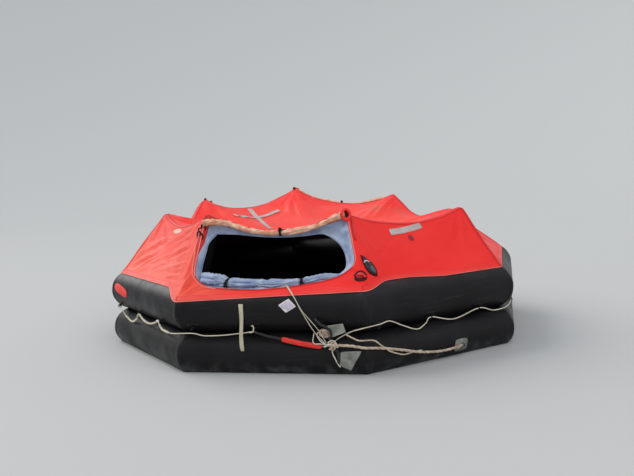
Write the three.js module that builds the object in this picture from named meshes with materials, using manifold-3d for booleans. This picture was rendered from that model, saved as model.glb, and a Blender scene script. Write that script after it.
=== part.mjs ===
// An inflatable life raft: two stacked ring tubes of eight sides, eight leaning struts and a canopy
// that hangs between their tips, with an entrance at the front and one at the rear.
// Millimetres, +Z up, the front entrance facing -Y. The origin is under the middle, at the ring's lowest face.

import * as THREE from "three";
import { mergeVertices } from "three/addons/utils/BufferGeometryUtils.js";
import Module from "manifold-3d";

const wasm = await Module();
wasm.setup();

// Driving sizes
const SIDES = 8;
const RING_APOTHEM = 1510;
const TUBE_RADIUS = 170;
const LOWER_TUBE_Z = 165;
const TUBE_PITCH = 325;
const TUBE_FACETS = 20;
const SEAT_GAP = 0.3;
const CANOPY_THICKNESS = 12;
const KNEE_RADIUS = 1352;
const KNEE_Z = 1138;
const ROOF_CENTRE_Z = 830;
const ROOF_POWER = 1.5;
const HEM_STEP_NEAR = 0.02;
const HEM_STEP_FAR = 0.2;
const STRUT_RADIUS = 55;
const STRUT_TIP_RADIUS = 28;
const ROPE_RADIUS = 6;

// Sizes worked out from them
const UPPER_TUBE_Z = LOWER_TUBE_Z + TUBE_PITCH;
const TUBE_JOINT_Z = LOWER_TUBE_Z + TUBE_PITCH / 2;
const OUTSIDE = RING_APOTHEM + TUBE_RADIUS;
const STEP = (2 * Math.PI) / SIDES;
const CORNER_COS = Math.cos(STEP / 2);
const CORNER_TAN = Math.tan(STEP / 2);

// The sides, counted round from the front one. The hem lies on the upper tube at an angle in degrees above
// the tube's middle: hem along the wall, hemFrom and hemTo at its two ends. The ridge sags between the knees.
// An entrance has a doorway.
const WALLS = [
  { name: "front", hemFrom: 26, hem: null, hemTo: 50, sag: 100, entrance: true },
  { name: "front_right", hemFrom: 50, hem: 60, hemTo: 60, sag: 110, entrance: false },
  { name: "right", hemFrom: 60, hem: 60, hemTo: 60, sag: 100, entrance: false },
  { name: "rear_right", hemFrom: 60, hem: 60, hemTo: 34, sag: 130, entrance: false },
  { name: "rear", hemFrom: 34, hem: null, hemTo: 34, sag: 130, entrance: true },
  { name: "rear_left", hemFrom: 34, hem: 60, hemTo: 60, sag: 150, entrance: false },
  { name: "left", hemFrom: 60, hem: 60, hemTo: 60, sag: 80, entrance: false },
  { name: "front_left", hemFrom: 60, hem: 60, hemTo: 26, sag: 60, entrance: false },
];

// How far each knee of the canopy is pulled off an even ring, from the front side's right corner round
const KNEES = [
  { out: 0, across: 0, up: 0 },
  { out: 40, across: 15, up: -30 },
  { out: -85, across: 15, up: -105 },
  { out: 10, across: -20, up: -5 },
  { out: 0, across: 0, up: 90 },
  { out: -10, across: -10, up: 50 },
  { out: -25, across: 0, up: 0 },
  { out: 65, across: -70, up: -10 },
];

const COLOURS = {
  tube: { color: "#1b1c1e", roughness: 0.55, metalness: 0 },
  canopy: { color: "#e8392b", roughness: 0.8, metalness: 0 },
  lining: { color: "#8fa9cf", roughness: 0.85, metalness: 0 },
  flap: { color: "#c49a72", roughness: 0.85, metalness: 0 },
  webbing: { color: "#c9bb9a", roughness: 0.9, metalness: 0 },
  rope: { color: "#d3cbb9", roughness: 0.9, metalness: 0 },
  grey: { color: "#8e9189", roughness: 0.8, metalness: 0 },
  floor: { color: "#26282c", roughness: 0.7, metalness: 0 },
  window: { color: "#2a1d22", roughness: 0.3, metalness: 0 },
  tag: { color: "#c9c4cf", roughness: 0.6, metalness: 0 },
  steel: { color: "#6d7278", roughness: 0.4, metalness: 0.8 },
};

const raft = new THREE.Group();

// Solids: a geometry made watertight, and a solid turned back into a geometry.
function solid(geometry) {
  const bare = geometry.index ? geometry.toNonIndexed() : geometry.clone();
  bare.deleteAttribute("normal");
  bare.deleteAttribute("uv");
  const merged = mergeVertices(bare, 1e-3);
  const triVerts = new Uint32Array(merged.index.array);
  const vertProperties = merged.attributes.position.array;
  return new wasm.Manifold(new wasm.Mesh({ numProp: 3, vertProperties, triVerts }));
}

// The largest body of a solid that a cut has left with loose slivers
function largest(manifold) {
  return manifold.decompose().reduce((a, b) => (a.volume() > b.volume() ? a : b));
}

function geometryOf(manifold) {
  const mesh = manifold.getMesh();
  const geometry = new THREE.BufferGeometry();
  geometry.setAttribute("position", new THREE.BufferAttribute(mesh.vertProperties, 3));
  geometry.setIndex(new THREE.BufferAttribute(mesh.triVerts, 1));
  return geometry;
}

function addPiece(name, colour, shape) {
  const geometry = shape instanceof THREE.BufferGeometry ? shape : geometryOf(shape);
  const mesh = new THREE.Mesh(geometry, new THREE.MeshStandardMaterial(COLOURS[colour]));
  mesh.name = name;
  raft.add(mesh);
}

// Each vertex of a geometry moved by a function of its place.
function bent(geometry, move) {
  const position = geometry.attributes.position;
  for (let i = 0; i < position.count; i++) {
    const place = move(new THREE.Vector3().fromBufferAttribute(position, i));
    position.setXYZ(i, place.x, place.y, place.z);
  }
  return geometry;
}

// Directions round the raft: the middle of side k is at turn k, a corner at a half turn.
function outward(turn) {
  const angle = turn * STEP - Math.PI / 2;
  return new THREE.Vector3(Math.cos(angle), Math.sin(angle), 0);
}

function onSide(side, along, apothem, z) {
  const place = outward(side).multiplyScalar(apothem);
  const run = outward(side + SIDES / 4);
  return place.addScaledVector(run, along).setZ(z);
}

// A ring of eight flat sides swept from a section of [apothem, height] points, outside going up.
function ring(section) {
  const profile = [...section, section[0]];
  const points = profile.map(([apothem, z]) => new THREE.Vector2(apothem / CORNER_COS, z));
  const geometry = new THREE.LatheGeometry(points, SIDES, STEP / 2, 2 * Math.PI);
  return geometry.rotateX(Math.PI / 2);
}

// A round tube section, pressed flat below low and above high.
function tubeSection(centreZ, radius, low, high) {
  const section = [];
  for (let i = 0; i < TUBE_FACETS; i++) {
    const angle = ((i + 0.5) / TUBE_FACETS) * 2 * Math.PI - Math.PI / 2;
    const z = centreZ + radius * Math.sin(angle);
    section.push([RING_APOTHEM + radius * Math.cos(angle), Math.min(Math.max(z, low), high)]);
  }
  return section;
}

const FACET_GROWTH = 1 / Math.cos(Math.PI / TUBE_FACETS);
const TUBE_R = TUBE_RADIUS * FACET_GROWTH;
const lowerTube = solid(ring(tubeSection(LOWER_TUBE_Z, TUBE_R, 0, TUBE_JOINT_Z - SEAT_GAP / 2)));
const upperTube = solid(ring(tubeSection(UPPER_TUBE_Z, TUBE_R, TUBE_JOINT_Z + SEAT_GAP / 2, 1e4)));
const GROWN_R = TUBE_R + SEAT_GAP;
const lowerClearance = solid(ring(tubeSection(LOWER_TUBE_Z, GROWN_R, -SEAT_GAP, 1e4)));
const upperClearance = solid(ring(tubeSection(UPPER_TUBE_Z, GROWN_R, -SEAT_GAP, 1e4)));

function clearOfTubes(shape) {
  return shape.subtract(lowerClearance).subtract(upperClearance);
}

addPiece("lower_tube", "tube", lowerTube);
addPiece("upper_tube", "tube", upperTube);

// The hem's place on the upper tube, as an angle above its middle. It drops round each entrance.
function hemAngle(side, u) {
  const { hemFrom, hem, hemTo } = WALLS[side % SIDES];
  if (hem === null) return THREE.MathUtils.lerp(hemFrom, hemTo, u);
  const rise = (away) => THREE.MathUtils.clamp((away - HEM_STEP_NEAR) / (HEM_STEP_FAR - HEM_STEP_NEAR), 0, 1);
  const first = THREE.MathUtils.lerp(hemFrom, hem, rise(u));
  const last = THREE.MathUtils.lerp(hemTo, hem, rise(1 - u));
  return Math.min(first, last);
}

const HEM_CLEARANCE = 3;
function hemPoint(side, u) {
  const angle = THREE.MathUtils.degToRad(hemAngle(side, u));
  const apothem = RING_APOTHEM + (TUBE_RADIUS + HEM_CLEARANCE) * Math.cos(angle);
  const z = UPPER_TUBE_Z + (TUBE_RADIUS + HEM_CLEARANCE) * Math.sin(angle);
  return onSide(side, (2 * u - 1) * apothem * CORNER_TAN, apothem, z);
}

function kneePoint(corner) {
  const { out, across, up } = KNEES[(corner + SIDES) % SIDES];
  const place = outward(corner + 0.5).multiplyScalar(KNEE_RADIUS + out);
  return place.addScaledVector(outward(corner + 0.5 + SIDES / 4), across).setZ(KNEE_Z + up);
}

function ridgePoint(side, u) {
  const place = kneePoint(side - 1).lerp(kneePoint(side), u);
  place.z -= WALLS[side % SIDES].sag * 4 * u * (1 - u);
  return place;
}

// Straight into the wall from its outer face, turned so that neighbouring walls meet on a mitre.
const SLOPE_RISE = 498;
const SLOPE_RUN = 347;
const LEAN = Math.atan2(SLOPE_RISE, SLOPE_RUN);
function inwardAt(side, u) {
  const flat = outward(side - 0.5).lerp(outward(side + 0.5), u).divideScalar(CORNER_COS);
  return flat.multiplyScalar(-Math.sin(LEAN)).setZ(-Math.cos(LEAN));
}

function wallPoint(side, u, v, depth) {
  const place = hemPoint(side, u).lerp(ridgePoint(side, u), v);
  return place.addScaledVector(inwardAt(side, u), depth);
}

// A place on a wall by its distance from the wall's middle line and its distance up the slope
const SPAN = 1200;
const SLOPE = 640;
function wallPlace(side, across, up, depth) {
  return wallPoint(side, 0.5 + across / SPAN, up / SLOPE, depth);
}

// An outline with rounded corners, its points at across and up on a wall
function doorway(corners) {
  const path = new THREE.Path();
  corners.forEach((corner, i) => {
    const here = new THREE.Vector2(corner.across, corner.up);
    const before = corners[(i + 3) % 4];
    const after = corners[(i + 1) % 4];
    const start = new THREE.Vector2(before.across, before.up).sub(here).setLength(corner.radius).add(here);
    const end = new THREE.Vector2(after.across, after.up).sub(here).setLength(corner.radius).add(here);
    if (i === 0) path.moveTo(start.x, start.y);
    else path.lineTo(start.x, start.y);
    path.quadraticCurveTo(here.x, here.y, end.x, end.y);
  });
  path.closePath();
  return path;
}

// What an outline on a wall takes up between two depths under the wall's outer face
const CUT_REACH = 110;
const OUTLINE_POINTS = 40;
function wallBlock(side, outline, depthFrom = -CUT_REACH, depthTo = CUT_REACH) {
  const settings = { depth: 1, bevelEnabled: false };
  const flat = new THREE.ExtrudeGeometry(new THREE.Shape(outline.getSpacedPoints(OUTLINE_POINTS)), settings);
  const block = bent(flat, (p) => wallPlace(side, p.x, p.y, THREE.MathUtils.lerp(depthTo, depthFrom, p.z)));
  return solid(block);
}

// A whole wall's shape between two depths under its outer face
const WALL_GAP = 0.0002;
function wallPanel(side, depthFrom, depthTo) {
  const panel = bent(new THREE.BoxGeometry(1, 1, 1, 12, 4, 1), (p) => {
    const u = THREE.MathUtils.lerp(WALL_GAP, 1 - WALL_GAP, p.x + 0.5);
    const depth = THREE.MathUtils.lerp(depthTo, depthFrom, p.z + 0.5);
    return wallPoint(side, u, p.y + 0.5, depth);
  });
  return solid(panel);
}

// The doorway in the canopy, and the lining's outer edge behind it and its own opening
const OPENING = doorway([
  { across: -546, up: 55, radius: 240 },
  { across: 570, up: 50, radius: 220 },
  { across: 576, up: 594, radius: 20 },
  { across: -576, up: 594, radius: 20 },
]);
const LINING_OUTER = doorway([
  { across: -560, up: 38, radius: 240 },
  { across: 584, up: 34, radius: 220 },
  { across: 588, up: 607, radius: 20 },
  { across: -588, up: 607, radius: 20 },
]);
const LINING_INNER = doorway([
  { across: -480, up: 160, radius: 40 },
  { across: 516, up: 160, radius: 40 },
  { across: 516, up: 554, radius: 150 },
  { across: -480, up: 554, radius: 150 },
]);

// Canopy walls
for (let side = 0; side < SIDES; side++) {
  let wall = wallPanel(side, 0, CANOPY_THICKNESS).subtract(upperClearance);
  if (WALLS[side].entrance) wall = wall.subtract(wallBlock(side, OPENING));
  addPiece(`canopy_wall_${WALLS[side].name}`, "canopy", wall);
}

// Canopy roof: a disc whose rim follows the walls' inner edge, sagging to the middle
const ROOF_RINGS = 4;
const ROOF_SEGMENTS = SIDES * 6;
const roofProfile = [];
for (let i = 0; i <= ROOF_RINGS; i++) roofProfile.push(new THREE.Vector2(i / ROOF_RINGS, 0));
for (let i = ROOF_RINGS; i >= 0; i--) roofProfile.push(new THREE.Vector2(i / ROOF_RINGS, 1));
const roofDisc = new THREE.LatheGeometry(roofProfile, ROOF_SEGMENTS, STEP / 2, 2 * Math.PI);
roofDisc.rotateX(Math.PI / 2);
const roof = bent(roofDisc, (p) => {
  const reach = Math.hypot(p.x, p.y);
  if (reach < 1e-6) return new THREE.Vector3(0, 0, ROOF_CENTRE_Z - CANOPY_THICKNESS * (1 - p.z));
  const turn = (Math.atan2(p.y, p.x) + Math.PI / 2) / STEP + SIDES;
  const side = Math.floor(turn + 0.5);
  const rim = ridgePoint(side, turn + 0.5 - side);
  rim.addScaledVector(inwardAt(side, turn + 0.5 - side), CANOPY_THICKNESS + 2 * SEAT_GAP);
  const z = THREE.MathUtils.lerp(ROOF_CENTRE_Z, rim.z, reach ** ROOF_POWER);
  return new THREE.Vector3(rim.x * reach, rim.y * reach, z - CANOPY_THICKNESS * (1 - p.z));
});
addPiece("canopy_roof", "canopy", roof);

// Struts: leaning tapered posts on the upper tube at its corners
const STRUT_FOOT_RADIUS = 1560;
const STRUT_FOOT_Z = 600;
const STRUT_TIP_INSET = 62;
const STRUT_TIP_DROP = 62;
for (let corner = 0; corner < SIDES; corner++) {
  const foot = outward(corner + 0.5).multiplyScalar(STRUT_FOOT_RADIUS).setZ(STRUT_FOOT_Z);
  const tip = kneePoint(corner).addScaledVector(outward(corner + 0.5), -STRUT_TIP_INSET);
  tip.z -= STRUT_TIP_DROP;
  const axis = tip.clone().sub(foot);
  const length = axis.length();
  const profile = [
    [0, 0],
    [STRUT_RADIUS, 0],
    [STRUT_RADIUS, length * 0.7],
    [STRUT_TIP_RADIUS, length - 12],
    [STRUT_TIP_RADIUS * 0.5, length],
    [0, length],
  ];
  const post = new THREE.LatheGeometry(profile.map(([r, y]) => new THREE.Vector2(r, y)), 16);
  post.applyQuaternion(new THREE.Quaternion().setFromUnitVectors(new THREE.Vector3(0, 1, 0), axis.normalize()));
  post.translate(foot.x, foot.y, foot.z);
  addPiece(`strut_${corner + 1}`, "tube", solid(post).subtract(upperClearance));
}

// Floor: a slightly raised panel inside the lower tube
const FLOOR_EDGE_Z = 60;
const FLOOR_CENTRE_Z = 235;
const FLOOR_THICKNESS = 30;
const FLOOR_REACH = RING_APOTHEM;
const floorSteps = [0, 0.25, 0.5, 0.75, 1];
function floorHeight(s) {
  return THREE.MathUtils.lerp(FLOOR_CENTRE_Z, FLOOR_EDGE_Z, s * s);
}
const floorLow = floorSteps.map((s) => new THREE.Vector2((s * FLOOR_REACH) / CORNER_COS, floorHeight(s)));
const floorHigh = floorLow.map((p) => new THREE.Vector2(p.x, p.y + FLOOR_THICKNESS)).reverse();
const floorShape = new THREE.LatheGeometry([...floorLow, ...floorHigh], SIDES, STEP / 2, 2 * Math.PI);
floorShape.rotateX(Math.PI / 2);
const floor = solid(floorShape).subtract(lowerClearance);
addPiece("floor", "floor", floor);

// A tube swept along a smooth line of points
function swept(points, radius, steps, sides = 8) {
  const section = new THREE.Shape();
  section.absarc(0, 0, radius, 0, 2 * Math.PI, false);
  const path = new THREE.CatmullRomCurve3(points);
  const settings = { steps, extrudePath: path, curveSegments: sides, bevelEnabled: false };
  return new THREE.ExtrudeGeometry(section, settings);
}

// Entrances: the blue lining, the rolled outer flap along the top and the rolled inner flap on the sill
const OUTER_ROLL_RADIUS = 36;
const OUTER_ROLL_HALF = 540;
const OUTER_ROLL_UP = 617;
const INNER_ROLL_RADIUS = 38;
const INNER_ROLL_HALF = 470;
const INNER_ROLL_SHIFT = -14;
const LINING_THICKNESS = 6;
const ROLL_REST = 1;
const FRONT_COVER = 50;
WALLS.forEach(({ name, entrance }, side) => {
  if (!entrance) return;
  const depth = CANOPY_THICKNESS + SEAT_GAP;
  const behindWall = wallPanel(side, 0, depth + LINING_THICKNESS).subtract(wallPanel(side, -FRONT_COVER, depth));
  const sheet = behindWall.subtract(upperClearance).intersect(wallBlock(side, LINING_OUTER));
  addPiece(`door_lining_${name}`, "lining", largest(sheet.subtract(wallBlock(side, LINING_INNER))));

  const outerLine = [];
  const innerLine = [];
  for (let i = -4; i <= 4; i++) {
    const across = (i / 4) * OUTER_ROLL_HALF;
    outerLine.push(wallPlace(side, across, OUTER_ROLL_UP, -OUTER_ROLL_RADIUS - SEAT_GAP - ROLL_REST));
    const z = UPPER_TUBE_Z + TUBE_RADIUS + INNER_ROLL_RADIUS + SEAT_GAP;
    innerLine.push(onSide(side, (i / 4) * INNER_ROLL_HALF, RING_APOTHEM + INNER_ROLL_SHIFT, z));
  }
  const outerRoll = solid(swept(outerLine, OUTER_ROLL_RADIUS, 12, 10));
  const seated = largest(outerRoll.subtract(wallPanel(side, -SEAT_GAP, CUT_REACH)));
  addPiece(`outer_flap_roll_${name}`, "flap", seated);
  const beforeLining = wallPanel(side, -FRONT_COVER, depth + LINING_THICKNESS + SEAT_GAP);
  const innerRoll = solid(swept(innerLine, INNER_ROLL_RADIUS, 4, 12));
  addPiece(`inner_flap_roll_${name}`, "lining", largest(innerRoll.subtract(beforeLining)));
});

// The small oval window and the round port low on the front right wall, by the front entrance
const WALL_FITTINGS = [
  { name: "oval_window", across: -516, up: 202, halfLength: 96, halfWidth: 34, lean: 0.37 },
  { name: "round_port", across: -559, up: 102, halfLength: 35, halfWidth: 35, lean: 0 },
];
const FITTING_HEIGHT = 10;
for (const fitting of WALL_FITTINGS) {
  const outline = new THREE.Path();
  const { across, up, halfWidth, halfLength, lean } = fitting;
  outline.absellipse(across, up, halfWidth, halfLength, 0, 2 * Math.PI, false, lean);
  const block = wallBlock(1, outline, -FITTING_HEIGHT, FITTING_HEIGHT);
  addPiece(fitting.name, "window", largest(block.subtract(wallPanel(1, -SEAT_GAP, CUT_REACH))));
}

// Lifeline: a rope round the outside, held by three patches on each side
const LIFELINE_APOTHEM = 1662;
const LIFELINE_Z = 368;
const LIFELINE_SAG = 40;
const HOLDS_A_SIDE = 3;
const FIRST_HOLD = -579;
const HOLD_PITCH = 464;
const PATCH = { width: 70, height: 60, z: 385 };
const lifelinePoints = [];
let lifeline = null;
for (let side = 0; side < SIDES; side++) {
  for (let hold = 0; hold < HOLDS_A_SIDE; hold++) {
    const along = FIRST_HOLD + hold * HOLD_PITCH;
    const half = along + HOLD_PITCH / 2;
    const corner = LIFELINE_APOTHEM * CORNER_TAN;
    lifelinePoints.push(onSide(side, along, LIFELINE_APOTHEM, LIFELINE_Z));
    lifelinePoints.push(onSide(side, Math.min(half, corner), LIFELINE_APOTHEM, LIFELINE_Z - LIFELINE_SAG));
    const thick = LIFELINE_APOTHEM + ROPE_RADIUS - RING_APOTHEM;
    const patch = new THREE.BoxGeometry(PATCH.width, thick, PATCH.height);
    patch.translate(along, -thick / 2 - RING_APOTHEM, PATCH.z);
    patch.rotateZ(side * STEP);
    const cut = clearOfTubes(solid(patch));
    const outer = cut.decompose().reduce((a, b) => (farther(a) > farther(b) ? a : b));
    lifeline = lifeline ? lifeline.add(outer) : outer;
  }
}
lifelinePoints.push(lifelinePoints[0].clone());

function farther(shape) {
  const box = shape.boundingBox();
  return Math.max(...box.max.slice(0, 2).map(Math.abs), ...box.min.slice(0, 2).map(Math.abs));
}
const rope = solid(swept(lifelinePoints, ROPE_RADIUS, SIDES * HOLDS_A_SIDE * 3, 5));
const wholeLifeline = lifeline.add(rope);
const ropeClearance = solid(swept(lifelinePoints, ROPE_RADIUS + 1, SIDES * HOLDS_A_SIDE * 3, 5)).add(lifeline);
addPiece("lifeline", "rope", wholeLifeline);

// Boarding straps: upright webbing across both tubes by each entrance
const STRAP = { width: 42, thickness: 4, low: 205, high: 548, along: -205 };
for (const [side, name] of [[0, "front"], [SIDES / 2, "rear"]]) {
  const strap = new THREE.BoxGeometry(STRAP.width, STRAP.thickness, STRAP.high - STRAP.low);
  strap.translate(STRAP.along, -(OUTSIDE + SEAT_GAP + STRAP.thickness / 2), (STRAP.high + STRAP.low) / 2);
  strap.rotateZ(side * STEP);
  addPiece(`boarding_strap_${name}`, "webbing", strap);
}

// Front gear: a blank tag, two grey towing pads and a red grab strip. Turn is how far the right end drops.
const FRONT_FACE = -(OUTSIDE + SEAT_GAP + STRAP.thickness);
const TAG = { width: 124, thickness: 3, height: 98, along: 137, z: 533 };
const tag = new THREE.BoxGeometry(TAG.width, TAG.thickness, TAG.height);
tag.translate(TAG.along, -(OUTSIDE + SEAT_GAP + TAG.thickness / 2), TAG.z);
addPiece("blank_tag", "tag", tag);

const PAD_DEPTH = 160;
const TOW_PADS = [
  { name: "upper", along: 475, z: 361, width: 130, height: 84, turn: -0.15 },
  { name: "lower", along: 570, z: 150, width: 140, height: 150, turn: 0.35 },
];
for (const pad of TOW_PADS) {
  const box = new THREE.BoxGeometry(pad.width, PAD_DEPTH, pad.height);
  box.rotateY(pad.turn);
  box.translate(pad.along, FRONT_FACE + PAD_DEPTH / 2, pad.z);
  addPiece(`tow_pad_${pad.name}`, "grey", largest(clearOfTubes(solid(box)).subtract(ropeClearance)));
}

const STRIP = { middle: 228.5, z: 279.5, length: 287, width: 32, thickness: 10, turn: 0.2425 };
const strip = new THREE.BoxGeometry(STRIP.length, STRIP.thickness, STRIP.width);
strip.rotateY(STRIP.turn);
strip.translate(STRIP.middle, -(LIFELINE_APOTHEM + ROPE_RADIUS + SEAT_GAP + STRIP.thickness / 2), STRIP.z);
addPiece("red_grab_strip", "canopy", strip);

// Under the floor: four folded water pockets, the gas cylinder and the righting strap
const POCKET = { width: 520, depth: 300, thickness: 40, reach: 1000 };
const underLow = floorLow.map((p) => new THREE.Vector2(p.x, p.y - POCKET.thickness));
const underHigh = floorLow.map((p) => new THREE.Vector2(p.x, p.y - SEAT_GAP)).reverse();
const underShape = new THREE.LatheGeometry([...underLow, ...underHigh], SIDES, STEP / 2, 2 * Math.PI);
const underFloor = solid(underShape.rotateX(Math.PI / 2));
for (let i = 0; i < 4; i++) {
  const block = new THREE.BoxGeometry(POCKET.width, POCKET.depth, 600);
  block.translate(0, -POCKET.reach, 0);
  block.rotateZ((2 * i + 1) * STEP);
  addPiece(`water_pocket_${i + 1}`, "floor", underFloor.intersect(solid(block)));
}
const CYLINDER = { radius: 80, length: 640, y: 380, z: 138.4 };
const cylinder = new THREE.CapsuleGeometry(CYLINDER.radius, CYLINDER.length - 2 * CYLINDER.radius, 5, 16);
cylinder.rotateZ(Math.PI / 2);
cylinder.translate(0, CYLINDER.y, CYLINDER.z);
addPiece("gas_cylinder", "steel", cylinder);
const righting = new THREE.BoxGeometry(2 * RING_APOTHEM, 50, 4);
righting.translate(0, -120, 12);
addPiece("righting_strap", "webbing", solid(righting).subtract(lowerClearance));

export default raft;
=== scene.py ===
"""An inflatable life raft with a red canopy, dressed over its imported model. Metres, +Z up."""

import logging
import math
import random
from dataclasses import dataclass, field
from enum import Enum
from typing import Any, Callable, Sequence

import bmesh
import bpy
import numpy as np
from mathutils import Matrix, Vector, noise
from mathutils.bvhtree import BVHTree


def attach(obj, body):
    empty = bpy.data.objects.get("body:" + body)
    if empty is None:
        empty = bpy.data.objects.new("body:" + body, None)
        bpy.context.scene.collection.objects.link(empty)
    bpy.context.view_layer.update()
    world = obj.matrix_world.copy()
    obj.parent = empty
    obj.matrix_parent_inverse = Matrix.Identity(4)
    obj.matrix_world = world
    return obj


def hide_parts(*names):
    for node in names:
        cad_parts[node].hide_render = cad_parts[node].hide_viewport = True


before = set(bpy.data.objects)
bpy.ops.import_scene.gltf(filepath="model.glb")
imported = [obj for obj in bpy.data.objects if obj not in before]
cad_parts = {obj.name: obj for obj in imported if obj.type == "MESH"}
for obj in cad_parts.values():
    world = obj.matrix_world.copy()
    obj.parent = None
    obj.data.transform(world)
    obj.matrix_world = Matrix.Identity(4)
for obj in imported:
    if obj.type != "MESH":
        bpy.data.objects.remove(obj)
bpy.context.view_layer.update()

LOG = logging.getLogger("life_raft")

# Ring
SIDES = 8
STEP = 2 * math.pi / SIDES
CORNER_TAN = math.tan(STEP / 2)
CORNER_COS = math.cos(STEP / 2)
RING_APOTHEM = 1.51
TUBE_RADIUS = 0.17
LOWER_TUBE_Z = 0.165
UPPER_TUBE_Z = 0.49
OUTSIDE = RING_APOTHEM + TUBE_RADIUS
HALF_SIDE = OUTSIDE * CORNER_TAN
WATERLINE = 0.04
TAPE_THICKNESS = 0.0016
# How far the lining's inner edge is behind the canopy's wall
LINING_DEPTH = 0.064

# A flat wall's spans, for outlines given in metres across and up
SPAN = 1.2
SLOPE = 0.64

Triple = tuple[float, float, float]
Colour = Triple
Flat = tuple[float, float]
Outline = Callable[[float], Flat]
Piece = bpy.types.Object
Socket = bpy.types.NodeSocket


class Slot(Enum):
    """The record's material slots."""

    TUBE = "tube"
    CANOPY = "canopy"
    LINING = "lining"
    FLAP = "flap"
    WEBBING = "webbing"
    ROPE = "rope"
    GREY = "grey"
    FLOOR = "floor"
    TAG = "tag"
    WINDOW = "window"
    STEEL = "steel"


# Directions

def outward(turn: float) -> Vector:
    """Returns the direction out of the ring at a turn: side k is at k, a corner half a turn on."""
    angle = turn * STEP - math.pi / 2
    return Vector((math.cos(angle), math.sin(angle), 0.0))


def on_side(side: float, along: float, apothem: float, z: float) -> Vector:
    """Returns a place on a side of the ring.

    Args:
        side: The side, counted round from the front one.
        along: Distance from the side's middle, in metres.
        apothem: Distance out from the raft's middle.
        z: Height.

    Returns:
        The place.
    """
    place = outward(side) * apothem + outward(side + SIDES / 4) * along
    place.z = z
    return place


def smooth_step(value: float) -> float:
    """Returns a value eased between 0 and 1."""
    value = min(max(value, 0.0), 1.0)
    return value * value * (3 - 2 * value)


# Nodes

class NodeBench:
    """A node tree with short calls to add nodes and join them."""

    def __init__(self, tree: bpy.types.NodeTree) -> None:
        """Keeps the tree and empties it."""
        self.tree = tree
        self.tree.nodes.clear()

    def add(self, kind: str, sockets: dict[Any, Any] | None = None, **settings: Any) -> bpy.types.Node:
        """Adds a node.

        Args:
            kind: The node's type.
            sockets: Input names or numbers, each with a value or a socket to join.
            **settings: Properties of the node.

        Returns:
            The node.
        """
        node = self.tree.nodes.new(kind)
        for name, value in settings.items():
            setattr(node, name, value)
        for name, value in (sockets or {}).items():
            if isinstance(value, Socket):
                self.tree.links.new(value, node.inputs[name])
            else:
                node.inputs[name].default_value = value
        return node

    def sum(self, first: Any, second: Any, operation: str = "ADD") -> Socket:
        """Returns the result of a sum of two values or sockets."""
        return self.add("ShaderNodeMath", {0: first, 1: second}, operation=operation).outputs[0]

    def times(self, first: Any, second: Any) -> Socket:
        """Returns the product of two values or sockets."""
        return self.sum(first, second, "MULTIPLY")

    def cloud(self, place: Socket, scale: float, detail: float, **more: float) -> Socket:
        """Returns a noise over a place, with any further inputs by their names."""
        sockets = {"Vector": place, "Scale": scale, "Detail": detail, **more}
        return self.add("ShaderNodeTexNoise", sockets).outputs["Fac"]

    def blend(self, factor: Any, first: Any, second: Any) -> Socket:
        """Returns a colour between two colours.

        Args:
            factor: 0 for the first colour and 1 for the second.
            first: A colour or a socket.
            second: A colour or a socket.

        Returns:
            The colour's socket.
        """
        sockets = {0: factor}
        for number, value in ((6, first), (7, second)):
            sockets[number] = value if isinstance(value, Socket) else (*value, 1.0)
        return self.add("ShaderNodeMix", sockets, data_type="RGBA").outputs[2]

    def ramp(self, value: Socket, low: float, high: float) -> Socket:
        """Returns a value stretched so that low gives 0 and high gives 1."""
        sockets = {"Value": value, "From Min": low, "From Max": high}
        return self.add("ShaderNodeMapRange", sockets, interpolation_type="SMOOTHSTEP").outputs[0]


# Finishes

# The scale at which a wave texture has one band to the metre
WAVE_WIDTH = 0.314


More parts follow.
